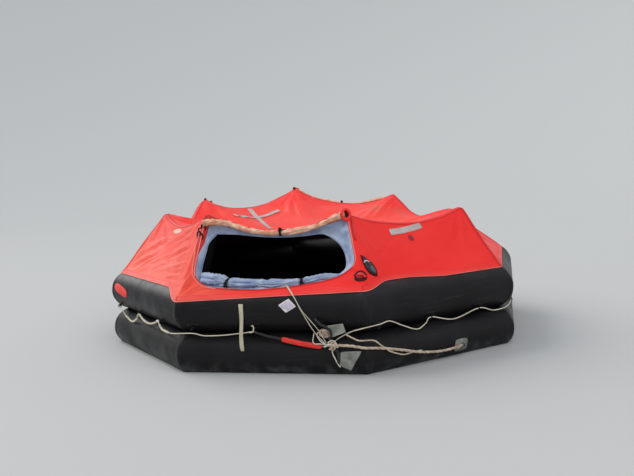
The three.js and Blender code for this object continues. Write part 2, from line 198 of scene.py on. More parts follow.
@dataclass(frozen=True)
class Finish:
    """A surface: mottled between two colours, with a grain, soft dents and uneven gloss.

    Attributes:
        name: The material's name.
        colour: Its colour.
        second: The colour that it goes to in patches.
        roughness: Its roughness.
        rough_spread: How far the roughness goes up and down in patches.
        patch: The patches' size.
        grain: The grain's size.
        grain_depth: The grain's depth.
        dent: The dents' size.
        dent_depth: The dents' depth.
        sheen: The strength of its pale sheen.
        metallic: How metallic it is.
        specular: The strength of its reflections.
    """

    name: str
    colour: Colour
    second: Colour
    roughness: float = 0.6
    rough_spread: float = 0.12
    patch: float = 0.35
    grain: float = 0.004
    grain_depth: float = 0.0004
    dent: float = 0.12
    dent_depth: float = 0.004
    sheen: float = 0.0
    metallic: float = 0.0
    specular: float = 0.5

    def tint(self, bench: NodeBench, place: Socket) -> Socket:
        """Returns the colour over the surface."""
        broad = bench.cloud(place, 1 / self.patch, 4.0)
        return bench.blend(bench.ramp(broad, 0.35, 0.68), self.colour, self.second)

    def height(self, bench: NodeBench, place: Socket) -> Socket:
        """Returns the fine relief in metres.

        Args:
            bench: The material's nodes.
            place: The place on the piece.

        Returns:
            The grain with the dents.
        """
        fine = bench.times(bench.cloud(place, 1 / self.grain, 2.0), self.grain_depth)
        dents = bench.cloud(place, 1 / self.dent, 3.0, Distortion=0.6)
        return bench.sum(fine, bench.times(dents, self.dent_depth))

    def gloss(self, bench: NodeBench, place: Socket) -> Socket:
        """Returns the roughness over the surface.

        Args:
            bench: The material's nodes.
            place: The place on the piece.

        Returns:
            The roughness, higher and lower in patches.
        """
        low, high = self.roughness - self.rough_spread, self.roughness + self.rough_spread
        sockets = {"Value": bench.cloud(place, 2.4 / self.patch, 5.0), "From Min": 0.3, "From Max": 0.7}
        return bench.add("ShaderNodeMapRange", {**sockets, "To Min": low, "To Max": high}).outputs[0]

    def material(self) -> bpy.types.Material:
        """Returns the Blender material, made once.

        Returns:
            The material.
        """
        made = bpy.data.materials.get(self.name)
        if made:
            return made
        made = bpy.data.materials.new(self.name)
        made.use_nodes = True
        bench = NodeBench(made.node_tree)
        place = bench.add("ShaderNodeTexCoord").outputs["Object"]
        sockets = {"Height": self.height(bench, place), "Strength": 1.0, "Distance": 1.0}
        bump = bench.add("ShaderNodeBump", sockets)
        sockets = {
            "Base Color": self.tint(bench, place),
            "Roughness": self.gloss(bench, place),
            "Normal": bump.outputs[0],
            "Metallic": self.metallic,
            "Sheen Weight": self.sheen,
            "Specular IOR Level": self.specular,
        }
        shader = bench.add("ShaderNodeBsdfPrincipled", sockets)
        bench.add("ShaderNodeOutputMaterial", {"Surface": shader.outputs[0]})
        return made


@dataclass(frozen=True)
class CanopyCloth(Finish):
    """Coated canopy cloth: paler towards one side and on the roof with a painted sheen of the bright sky,
    with a fine weave and drag wrinkles.

    Attributes:
        painted_sheen: The paler colour painted where the bright sky's sheen falls.
        sheen_from: Where that painted sheen starts and where it is full, as distance towards the front left.
        roof_sheen: How far the roof takes the painted sheen.
        roof_reach: Where that starts and where it is full, as distance from the raft's middle.
        weave: The width of a thread.
        weave_depth: How deep the threads are.
        crease_depth: How deep the small level creases are.
        drawn: Whether it has the fans of folds, which need the canopy's own maps.
        stains: Places with the size of the brown stain there.
        stain: The stains' colour.
    """

    painted_sheen: Colour = (0.9, 0.2, 0.12)
    sheen_from: Flat = (0.9, 1.75)
    roof_sheen: float = 0.3
    roof_reach: Flat = (1.22, 0.98)
    weave: float = 0.0016
    weave_depth: float = 0.00012
    crease_depth: float = 0.007
    drawn: bool = False
    stains: tuple[tuple[Triple, float], ...] = ()
    stain: Colour = (0.3, 0.13, 0.06)

    def tint(self, bench: NodeBench, place: Socket) -> Socket:
        """Returns the colour over the surface.

        Args:
            bench: The material's nodes.
            place: The place on the piece.

        Returns:
            The colour, paler on the left and on the roof where a sheen of the sky is painted.
        """
        base = super().tint(bench, place)
        split = bench.add("ShaderNodeSeparateXYZ", {0: place})
        cloud = bench.cloud(place, 3.0, 5.0)
        # Painted sheen of the bright sky: paler towards the front left, where the light comes from, and over
        # the roof's middle; the mask called worn is this sheen
        leftward = bench.sum(bench.times(split.outputs[0], -0.62), bench.times(split.outputs[1], -0.5))
        worn = bench.ramp(bench.sum(leftward, bench.times(cloud, 0.5)), *self.sheen_from)
        level = bench.add("ShaderNodeMapping", {"Vector": place, "Scale": (1.0, 1.0, 0.0)}).outputs[0]
        reach = bench.add("ShaderNodeVectorMath", {0: level}, operation="LENGTH").outputs["Value"]
        worn = bench.sum(worn, bench.times(bench.ramp(reach, *self.roof_reach), self.roof_sheen), "MAXIMUM")
        made = bench.blend(worn, base, self.painted_sheen)
        for spot, size in self.stains:
            gap = bench.add("ShaderNodeVectorMath", {0: place, 1: spot}, operation="DISTANCE")
            inside = bench.ramp(gap.outputs["Value"], size, 0.2 * size)
            near = bench.times(inside, bench.ramp(cloud, 0.38, 0.6))
            made = bench.blend(bench.times(near, 0.45), made, self.stain)
        return made

    def height(self, bench: NodeBench, place: Socket) -> Socket:
        """Returns the relief in metres.

        Args:
            bench: The material's nodes.
            place: The place on the piece.

        Returns:
            The base relief with the threads, the creases and the fans of folds.
        """
        relief = super().height(bench, place)
        for direction in ("X", "Z"):
            sockets = {"Vector": place, "Scale": WAVE_WIDTH / self.weave, "Distortion": 0.0}
            threads = bench.add("ShaderNodeTexWave", sockets, bands_direction=direction, wave_profile="SIN")
            relief = bench.sum(relief, bench.times(threads.outputs["Fac"], self.weave_depth))
        sockets = {"Vector": place, "Rotation": (0.0, 0.5, 0.4), "Scale": (5.0, 5.0, 22.0)}
        drag = bench.add("ShaderNodeMapping", sockets).outputs[0]
        creases = bench.cloud(drag, 1.0, 4.0, Distortion=0.8)
        relief = bench.sum(relief, bench.times(creases, self.crease_depth))
        if not self.drawn:
            return relief
        for name, depth, reach in (("pull_high", 0.024, 0.52), ("pull_low", 0.014, 0.42)):
            relief = bench.sum(relief, self.fan(bench, name, depth, reach))
        return relief

    def fan(self, bench: NodeBench, name: str, depth: float, reach: float) -> Socket:
        """Returns soft drag folds that run out from the points where the cloth is held.

        Args:
            bench: The material's nodes.
            name: The map whose X is the angle round the nearest held point and whose Y is the distance to it.
            depth: The folds' depth in metres.
            reach: How far they run.

        Returns:
            Their relief.
        """
        pull = bench.add("ShaderNodeUVMap", uv_map=name).outputs[0]
        split = bench.add("ShaderNodeSeparateXYZ", {0: pull})
        squeezed = bench.add("ShaderNodeMapping", {"Vector": pull, "Scale": (3.4, 0.9, 1.0)}).outputs[0]
        soft = bench.ramp(bench.cloud(squeezed, 1.0, 1.2, Roughness=0.4, Distortion=0.2), 0.22, 0.78)
        near = bench.ramp(split.outputs[1], reach, 0.05)
        spread = bench.ramp(split.outputs[1], 0.0, 0.5)
        height = bench.times(bench.times(soft, near), spread)
        return bench.times(height, depth)


@dataclass(frozen=True)
class TubeRubber(Finish):
    """Black coated tube fabric: paler on top with a little dust and a painted sheen of the sky that is
    strongest on the left, damp and salty towards the water, with scuffs along it.

    Attributes:
        scuff: The colour of the scuffs.
        dust_and_sheen: The paler colour on top: a little dust all round and a painted sheen of the sky,
            strongest on the left where the light comes from.
        salt: The colour of the salt near the water.
        dust_and_sheen_from: The height where that starts and where it is full.
        salt_from: The height where the salt starts and where it is full.
    """

    scuff: Colour = (0.034, 0.034, 0.037)
    dust_and_sheen: Colour = (0.2, 0.185, 0.19)
    salt: Colour = (0.13, 0.13, 0.135)
    dust_and_sheen_from: Flat = (0.555, 0.625)
    salt_from: Flat = (0.16, 0.03)

    def tint(self, bench: NodeBench, place: Socket) -> Socket:
        """Returns the colour over the surface.

        Args:
            bench: The material's nodes.
            place: The place on the piece.

        Returns:
            The black with scuffs, a salt line and a pale top of dust and painted sheen.
        """
        base = super().tint(bench, place)
        x, y, z = bench.add("ShaderNodeSeparateXYZ", {0: place}).outputs
        stretched = bench.add("ShaderNodeMapping", {"Vector": place, "Scale": (3.0, 3.0, 60.0)}).outputs[0]
        scuffs = bench.times(bench.ramp(bench.cloud(stretched, 1.0, 6.0), 0.56, 0.74), 0.35)
        worn = bench.blend(scuffs, base, self.scuff)
        cloud = bench.cloud(place, 9.0, 6.0)
        # Painted sheen of the sky on the tube's top, strongest towards the left where the light comes from,
        # over a little dust all round
        leftward = bench.ramp(bench.sum(bench.times(x, -0.6), bench.times(y, -0.4)), 0.5, 1.3)
        top = bench.times(bench.ramp(z, *self.dust_and_sheen_from), bench.sum(bench.times(leftward, 0.7), 0.05))
        with_dust_and_sheen = bench.blend(bench.times(top, bench.ramp(cloud, 0.2, 0.6)), worn, self.dust_and_sheen)
        low = bench.times(bench.ramp(z, *self.salt_from), bench.ramp(cloud, 0.45, 0.7))
        return bench.blend(bench.times(low, 0.5), with_dust_and_sheen, self.salt)


@dataclass(frozen=True)
class ReflectiveTape(Finish):
    """Pale reflective tape with a small honeycomb in it.

    Attributes:
        cell: The width of one of its cells.
    """

    cell: float = 0.006

    def tint(self, bench: NodeBench, place: Socket) -> Socket:
        """Returns the colour over the surface.

        Args:
            bench: The material's nodes.
            place: The place on the piece.

        Returns:
            The tape's colour with its cell walls a little darker.
        """
        base = super().tint(bench, place)
        sockets = {"Vector": place, "Scale": 1 / self.cell}
        edge = bench.add("ShaderNodeTexVoronoi", sockets, feature="DISTANCE_TO_EDGE").outputs[0]
        return bench.blend(bench.ramp(edge, 0.0, 0.09), tuple(0.7 * c for c in self.colour), base)


@dataclass(frozen=True)
class Webbing(Finish):
    """Woven tape whose ribs run along the length given by the piece's UV map.

    Attributes:
        rib: The distance from one rib to the next.
    """

    rib: float = 0.0022

    def height(self, bench: NodeBench, place: Socket) -> Socket:
        """Returns the relief in metres.

        Args:
            bench: The material's nodes.
            place: The place on the piece.

        Returns:
            The base relief with the ribs of the weave.
        """
        relief = super().height(bench, place)
        flat = bench.add("ShaderNodeTexCoord").outputs["UV"]
        for direction, depth in (("X", 0.0005), ("Y", 0.0003)):
            sockets = {"Vector": flat, "Scale": WAVE_WIDTH / self.rib}
            ribs = bench.add("ShaderNodeTexWave", sockets, bands_direction=direction, wave_profile="SIN")
            relief = bench.sum(relief, bench.times(ribs.outputs["Fac"], depth))
        return relief


CANOPY_RED = CanopyCloth(
    name="canopy_red", colour=(0.9, 0.014, 0.011), second=(0.93, 0.024, 0.019), roughness=0.46,
    rough_spread=0.1, patch=0.5, dent=0.16, dent_depth=0.005, sheen=0.05, specular=0.3,
    painted_sheen=(0.93, 0.115, 0.066), drawn=True,
    stains=(((0.39, 0.93, 1.03), 0.1), ((0.63, 0.96, 0.98), 0.11)),
)
BINDING_RED = CanopyCloth(
    name="binding_red", colour=(0.72, 0.01, 0.012), second=(0.8, 0.02, 0.018), roughness=0.48,
    rough_spread=0.08, patch=0.3, dent=0.1, dent_depth=0.002, sheen=0.05, specular=0.3,
    painted_sheen=(0.8, 0.06, 0.045),
)
HEM_RED = CanopyCloth(
    name="hem_red", colour=(0.9, 0.018, 0.014), second=(0.92, 0.03, 0.024), roughness=0.46,
    rough_spread=0.08, patch=0.3, dent=0.1, dent_depth=0.002, sheen=0.06, specular=0.35,
    painted_sheen=(0.9, 0.1, 0.07),
)
CORD_PINK = CanopyCloth(
    name="cord_pink", colour=(0.86, 0.16, 0.13), second=(0.9, 0.24, 0.2), roughness=0.55, patch=0.2,
    dent=0.05, dent_depth=0.001, painted_sheen=(0.92, 0.3, 0.25),
)
EDGE_RED = CanopyCloth(
    name="edge_red", colour=(0.6, 0.012, 0.016), second=(0.72, 0.02, 0.02), roughness=0.5, patch=0.2,
    dent=0.05, dent_depth=0.001, painted_sheen=(0.7, 0.03, 0.03),
)
THREAD_RED = Finish(
    name="thread_red", colour=(0.55, 0.03, 0.025), second=(0.7, 0.06, 0.045), roughness=0.7, dent_depth=0.0,
)
INNER_TENT = Finish(
    name="inner_tent", colour=(0.15, 0.05, 0.07), second=(0.22, 0.075, 0.1), roughness=0.9, patch=0.4,
    specular=0.05,
)
TUBE_BLACK = TubeRubber(
    name="tube_black", colour=(0.0045, 0.004, 0.005), second=(0.008, 0.0075, 0.009), roughness=0.46,
    rough_spread=0.12, patch=0.4, grain=0.0025, grain_depth=0.0003, dent=0.22, dent_depth=0.006,
    specular=0.22,
)
LINING_BLUE = Finish(
    name="lining_blue", colour=(0.26, 0.33, 0.52), second=(0.44, 0.52, 0.68), roughness=0.6, patch=0.1,
    dent=0.035, dent_depth=0.006, sheen=0.12, specular=0.3,
)
FLAP_BEIGE = Finish(
    name="flap_beige", colour=(0.7, 0.29, 0.17), second=(0.93, 0.58, 0.42), roughness=0.7, patch=0.05,
    dent=0.03, dent_depth=0.006, sheen=0.1, specular=0.3,
)
# The outer flap's red back face, painted dark maroon as the shade under its roll
FLAP_BACK_SHADE = Finish(
    name="flap_back", colour=(0.08, 0.006, 0.012), second=(0.14, 0.01, 0.018), roughness=0.7, patch=0.1,
)
# The posts' rubber: the tubes' black made darker and duller, as painted shade for the posts inside the tent
POST_SHADED_BLACK = Finish(
    name="post_black", colour=(0.003, 0.003, 0.0035), second=(0.005, 0.005, 0.006), roughness=0.9,
    specular=0.05,
)
TIE_BLACK = Webbing(
    name="tie_black", colour=(0.008, 0.007, 0.008), second=(0.014, 0.012, 0.013), roughness=0.7,
    specular=0.2,
)
WEBBING_CREAM = Webbing(
    name="webbing_cream", colour=(0.55, 0.5, 0.36), second=(0.66, 0.6, 0.46), roughness=0.8, patch=0.06,
)
ROPE_CREAM = Finish(
    name="rope_cream", colour=(0.6, 0.54, 0.42), second=(0.74, 0.69, 0.58), roughness=0.85, patch=0.08,
    grain=0.002, grain_depth=0.0006, dent_depth=0.0,
)
ROPE_TAN = Finish(
    name="rope_tan", colour=(0.42, 0.31, 0.22), second=(0.62, 0.52, 0.42), roughness=0.85, patch=0.05,
    grain=0.002, grain_depth=0.0006, dent_depth=0.0,
)
ROPE_DARK = Finish(
    name="rope_dark", colour=(0.016, 0.015, 0.017), second=(0.03, 0.028, 0.028), roughness=0.8,
    dent_depth=0.0,
)
PATCH_GREY = Finish(
    name="patch_grey", colour=(0.17, 0.18, 0.155), second=(0.31, 0.32, 0.285), roughness=0.7, patch=0.06,
    dent=0.03, dent_depth=0.003, specular=0.3,
)
GRAB_RED = Webbing(
    name="grab_red", colour=(0.85, 0.03, 0.022), second=(0.9, 0.05, 0.035), roughness=0.6, patch=0.1,
)
TAG_WHITE = Finish(
    name="tag_white", colour=(0.7, 0.68, 0.72), second=(0.8, 0.78, 0.8), roughness=0.5, patch=0.05,
    dent_depth=0.001,
)
TAG_LILAC = Finish(
    name="tag_lilac", colour=(0.5, 0.44, 0.55), second=(0.62, 0.57, 0.66), roughness=0.5, patch=0.02,
    dent_depth=0.001,
)
TAPE_SILVER = ReflectiveTape(
    name="tape_silver", colour=(0.5, 0.42, 0.4), second=(0.62, 0.56, 0.53), roughness=0.42, patch=0.1,
    dent=0.06, dent_depth=0.003, metallic=0.1,
)
SPOT_CREAM = Finish(
    name="spot_cream", colour=(0.8, 0.42, 0.32), second=(0.88, 0.55, 0.44), roughness=0.6, patch=0.05,
)
PANE_GREY = Finish(
    name="pane_grey", colour=(0.05, 0.075, 0.085), second=(0.1, 0.12, 0.13), roughness=0.22, patch=0.03,
    dent_depth=0.001,
)
WINDOW_DARK = Finish(
    name="window_dark", colour=(0.01, 0.01, 0.014), second=(0.018, 0.016, 0.022), roughness=0.18,
    dent_depth=0.001,
)
DEEP_RED = Finish(
    name="deep_red", colour=(0.2, 0.006, 0.01), second=(0.32, 0.01, 0.014), roughness=0.5, patch=0.03,
)
RIM_DARK = Finish(
    name="rim_dark", colour=(0.045, 0.003, 0.007), second=(0.08, 0.006, 0.012), roughness=0.6,
    specular=0.15,
)
FLOOR_BLACK = Finish(
    name="floor_black", colour=(0.01, 0.011, 0.013), second=(0.016, 0.017, 0.02), roughness=0.6,
)
CYLINDER_GREY = Finish(
    name="cylinder_grey", colour=(0.1, 0.11, 0.13), second=(0.14, 0.15, 0.17), roughness=0.4, metallic=0.6,
    dent_depth=0.0,
)


# Meshes

def linked(name: str, data: bpy.types.ID) -> Piece:
    """Makes an object from its data and puts it in the scene.

    Args:
        name: Its name.
        data: Its mesh, camera or light.

    Returns:
        The object.
    """
    piece = bpy.data.objects.new(name, data)
    bpy.context.scene.collection.objects.link(piece)
    return piece


def mesh_piece(name: str, places: Sequence[Vector], faces: Sequence[Sequence[int]]) -> Piece:
    """Makes a smoothly shaded object from vertices and faces.

    Args:
        name: The piece's name.
        places: The vertices.
        faces: Vertex numbers of each face, outside going anticlockwise.

    Returns:
        The object, in the scene.
    """
    mesh = bpy.data.meshes.new(name)
    mesh.from_pydata([tuple(p) for p in places], [], [tuple(f) for f in faces])
    mesh.update()
    for polygon in mesh.polygons:
        polygon.use_smooth = True
    return linked(name, mesh)


def plain_mesh(piece: Piece) -> Piece:
    """Turns a piece's modifiers into plain mesh.

    Args:
        piece: The object.

    Returns:
        The same object without modifiers.
    """
    graph = bpy.context.evaluated_depsgraph_get()
    graph.update()
    made = bpy.data.meshes.new_from_object(piece.evaluated_get(graph), depsgraph=graph)
    piece.modifiers.clear()
    piece.data = made
    return piece


def with_modifier(piece: Piece, kind: str, **settings: Any) -> Piece:
    """Adds a modifier and turns the result into plain mesh.

    Args:
        piece: The object.
        kind: The modifier's type.
        **settings: Its properties.

    Returns:
        The object.
    """
    modifier = piece.modifiers.new(kind.title(), kind)
    for name, value in settings.items():
        setattr(modifier, name, value)
    return plain_mesh(piece)


def thickened(piece: Piece, thickness: float) -> Piece:
    """Gives an open sheet its thickness, half on either side."""
    return with_modifier(piece, "SOLIDIFY", thickness=thickness, offset=0.0)


def length_of(line: Sequence[Vector]) -> float:
    """Returns a line's length."""
    return sum((b - a).length for a, b in zip(line, line[1:]))


def eased(values: Sequence[float], share: float) -> float:
    """Returns a value from an evenly spaced list, easing from each to the next.

    Args:
        values: The list.
        share: The place along it, from 0 to 1.

    Returns:
        The value there.
    """
    at = share * (len(values) - 1)
    low = min(int(at), len(values) - 2)
    return values[low] + (values[low + 1] - values[low]) * smooth_step(at - low)


def grid_shares(columns: int, rows: int) -> list[Flat]:
    """Returns a grid's places, row by row, as shares of its width and of its length."""
    return [(i / (columns - 1), j / (rows - 1)) for j in range(rows) for i in range(columns)]


def grid_faces(columns: int, rows: int, closed: bool = False) -> list[tuple[int, int, int, int]]:
    """Returns the faces of a grid whose vertices are stored row by row.

    Args:
        columns: How many vertices a row has.
        rows: How many rows there are.
        closed: Whether each row comes back to its start.

    Returns:
        The vertex numbers of each face.
    """
    faces = []
    for row in range(rows - 1):
        low, high = row * columns, (row + 1) * columns
        for column in range(columns if closed else columns - 1):
            after = (column + 1) % columns
            faces.append((low + column, low + after, high + after, high + column))
    return faces


def turned_over(faces: Sequence[tuple[int, ...]]) -> list[tuple[int, ...]]:
    """Returns faces whose other side is the outside."""
    return [face[::-1] for face in faces]


def set_uv(piece: Piece, columns: int, rows: int, width: float, length: float) -> None:
    """Gives a grid piece a UV map in metres.

    Args:
        piece: The object, whose vertices are stored row by row.
        columns: How many vertices a row has.
        rows: How many rows there are.
        width: The cloth's width along a row.
        length: Its length across the rows.
    """
    layer = piece.data.uv_layers.new(name="cloth")
    for loop in piece.data.loops:
        row, column = divmod(loop.vertex_index, columns)
        layer.data[loop.index].uv = (column / (columns - 1) * width, row / (rows - 1) * length)


def frames_along(points: Sequence[Vector], closed: bool = False) -> list[tuple[Vector, Vector, Vector]]:
    """Returns directions along a line that turn as little as they can.

    Args:
        points: The line.
        closed: Whether it comes back to its start.

    Returns:
        The tangent and the two cross directions at each point.
    """
    count = len(points)
    frames = []
    side = None
    for i in range(count):
        before = points[i - 1] if (i > 0 or closed) else points[i]
        after = points[(i + 1) % count] if (i < count - 1 or closed) else points[i]
        tangent = (after - before).normalized()
        if side is None:
            helper = Vector((0, 0, 1)) if abs(tangent.z) < 0.9 else Vector((1, 0, 0))
            side = tangent.cross(helper).normalized()
        side = (side - tangent * side.dot(tangent)).normalized()
        frames.append((tangent, side, tangent.cross(side)))
    return frames


def spline_through(points: Sequence[Vector], steps: int, closed: bool = False) -> list[Vector]:
    """Returns a smooth line through points.

    Args:
        points: The points it passes.
        steps: How many places it gives between two points.
        closed: Whether it comes back to its start.

    Returns:
        The places along it.
    """
    count = len(points)
    made = []
    spans = count if closed else count - 1
    for i in range(spans):
        if closed:
            a, b, c, d = (points[(i + k) % count] for k in (-1, 0, 1, 2))
        else:
            b, c = points[i], points[i + 1]
            a = points[i - 1] if i > 0 else b * 2 - c
            d = points[i + 2] if i + 2 < count else c * 2 - b
        for k in range(steps):
            t = k / steps
            bend = (2 * a - 5 * b + 4 * c - d) * t * t
            made.append(0.5 * (2 * b + (c - a) * t + bend + (3 * b - a - 3 * c + d) * t ** 3))
    if not closed:
        made.append(points[-1].copy())
    return made


def tube_piece(name: str, points: Sequence[Vector], radius: float, sides: int = 10, closed: bool = False,
               swell: Callable[[float, float], float] | None = None) -> Piece:
    """Sweeps a round section along a line.

    Args:
        name: The piece's name.
        points: The line.
        radius: The section's radius.
        sides: How many sides the section has.
        closed: Whether the line comes back to its start.
        swell: Gives a factor on the radius from the place along (0 to 1) and the angle round.

    Returns:
        The object, with closed ends.
    """
    places = []
    count = len(points)
    for i, (_, side, up) in enumerate(frames_along(points, closed)):
        for k in range(sides):
            angle = 2 * math.pi * k / sides
            factor = swell(i / max(count - 1, 1), angle) if swell else 1.0
            places.append(points[i] + (side * math.cos(angle) + up * math.sin(angle)) * radius * factor)
    faces = grid_faces(sides, count, closed=True)
    if closed:
        last = (count - 1) * sides
        faces += [(last + k, last + (k + 1) % sides, (k + 1) % sides, k) for k in range(sides)]
    else:
        faces.append(tuple(range(sides))[::-1])
        faces.append(tuple((count - 1) * sides + k for k in range(sides)))
    piece = mesh_piece(name, places, faces)
    outward_normals(piece)
    return piece


def angles_round(count: int) -> list[float]:
    """Returns evenly spaced angles once round."""
    return list(np.linspace(0, 2 * math.pi, count + 1)[:-1])


def outward_normals(piece: Piece) -> None:
    """Turns every face of a closed piece outwards.

    Args:
        piece: The object.
    """
    cage = bmesh.new()
    cage.from_mesh(piece.data)
    bmesh.ops.recalc_face_normals(cage, faces=cage.faces)
    cage.to_mesh(piece.data)
    cage.free()


def joined(name: str, pieces: Sequence[Piece]) -> Piece:
    """Joins pieces into one mesh.

    Args:
        name: The new piece's name.
        pieces: The objects, which are used up.

    Returns:
        The joined object.
    """
    cage = bmesh.new()
    for piece in pieces:
        cage.from_mesh(piece.data)
    mesh = bpy.data.meshes.new(name)
    cage.to_mesh(mesh)
    cage.free()
    for polygon in mesh.polygons:
        polygon.use_smooth = True
    for piece in pieces:
        bpy.data.objects.remove(piece)
    return linked(name, mesh)


def settle(piece: Piece, finish: Finish, slot: Slot, *stands_for: str) -> Piece:
    """Dresses a finished piece and puts it on the raft's body.

    Args:
        piece: The object.
        finish: Its finish.
        slot: The record's slot that it takes; not used.
        *stands_for: The nodes of the model that it replaces.

    Returns:
        The object.
    """
    piece.data.materials.clear()
    piece.data.materials.append(finish.material())
    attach(piece, "root")
    if stands_for:
        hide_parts(*stands_for)
    triangles = sum(len(p.vertices) - 2 for p in piece.data.polygons)
    LOG.info("%s: %d triangles", piece.name, triangles)
    return piece


# Canopy form

@dataclass(frozen=True)
class Wall:
    """One side of the canopy.

    Attributes:
        name: Its name in the model.
        hem_from: Its hem's angle on the upper tube at its first corner, in degrees.
        hem: The angle along most of it, or nothing where the hem runs straight from corner to corner.
        hem_to: The angle at its last corner.
        sag: How far its ridge hangs.
        entrance: Whether it has a doorway.
        crest: How much higher its hem is drawn beside its first corner, in degrees.
        lowest: Where its ridge hangs lowest.
        pinched: Whether the ridge is pinched there.
    """

    name: str
    hem_from: float
    hem: float | None
    hem_to: float
    sag: float
    entrance: bool = False
    crest: float = 0.0
    lowest: float = 0.5
    pinched: bool = False

    def drop(self, u: float) -> float:
        """Returns how far the ridge hangs.

        Args:
            u: From 0 at its first corner to 1 at its last.

        Returns:
            The drop in metres.
        """
        share = u / self.lowest if u < self.lowest else (1 - u) / (1 - self.lowest)
        if self.pinched:
            return self.sag * (share ** 2.2 if u < self.lowest else share)
        return self.sag * share * (2 - share)


@dataclass(frozen=True)
class Knee:
    """How far a knee of the canopy is pulled off an even ring.

    Attributes:
        out: Away from the raft's middle.
        across: Towards the next side.
        up: Upwards.
    """

    out: float
    across: float
    up: float


# The sides in order, each as its name, its hem's three angles, its ridge's sag and what is special
WALLS = (
    Wall("front", 26, None, 50, 0.13, True),
    Wall("front_right", 50, 60, 60, 0.096, crest=20),
    Wall("right", 60, 60, 60, 0.1),
    Wall("rear_right", 60, 60, 34, 0.155, lowest=0.46),
    Wall("rear", 34, None, 34, 0.13, True),
    Wall("rear_left", 34, 60, 60, 0.13, lowest=0.6),
    Wall("left", 60, 60, 60, 0.17, lowest=0.37, pinched=True),
    Wall("front_left", 60, 58, 26, 0.105, lowest=0.45),
)
# The knees in order, each after the side of the same number
KNEES = (
    Knee(0.0, 0.0, 0.0),
    Knee(0.04, 0.015, -0.03),
    Knee(-0.105, 0.015, -0.11),
    Knee(0.01, -0.02, -0.005),
    Knee(0.0, 0.0, 0.09),
    Knee(-0.01, -0.01, 0.05),
    Knee(-0.025, 0.0, 0.0),
    Knee(0.07, -0.006, 0.038),
)
# Outlines on an entrance wall, each as four runs from the bottom left corner's middle round
DOORWAY_LINE = (
    (
        (-0.488, 0.142), (-0.446, 0.117), (-0.411, 0.101), (-0.326, 0.088), (-0.13, 0.069), (0.002, 0.068),
        (0.116, 0.076), (0.189, 0.084), (0.296, 0.1), (0.379, 0.114), (0.465, 0.14), (0.51, 0.166),
    ),
    ((0.51, 0.166), (0.556, 0.198), (0.584, 0.255), (0.587, 0.373), (0.584, 0.61)),
    ((0.584, 0.61), (0.3, 0.625), (0.0, 0.63), (-0.3, 0.625), (-0.584, 0.61)),
    ((-0.584, 0.61), (-0.574, 0.454), (-0.558, 0.312), (-0.546, 0.23), (-0.527, 0.182), (-0.488, 0.142)),
)
LINING_LINE = (
    ((-0.515, 0.165), (-0.2, 0.15), (0.2, 0.155), (0.48, 0.19)),
    ((0.48, 0.19), (0.525, 0.235), (0.537, 0.33), (0.505, 0.445), (0.432, 0.54)),
    ((0.432, 0.54), (0.366, 0.585), (0.184, 0.606), (-0.078, 0.61), (-0.333, 0.588), (-0.515, 0.54)),
    ((-0.515, 0.54), (-0.555, 0.46), (-0.555, 0.4), (-0.544, 0.26), (-0.515, 0.165)),
)


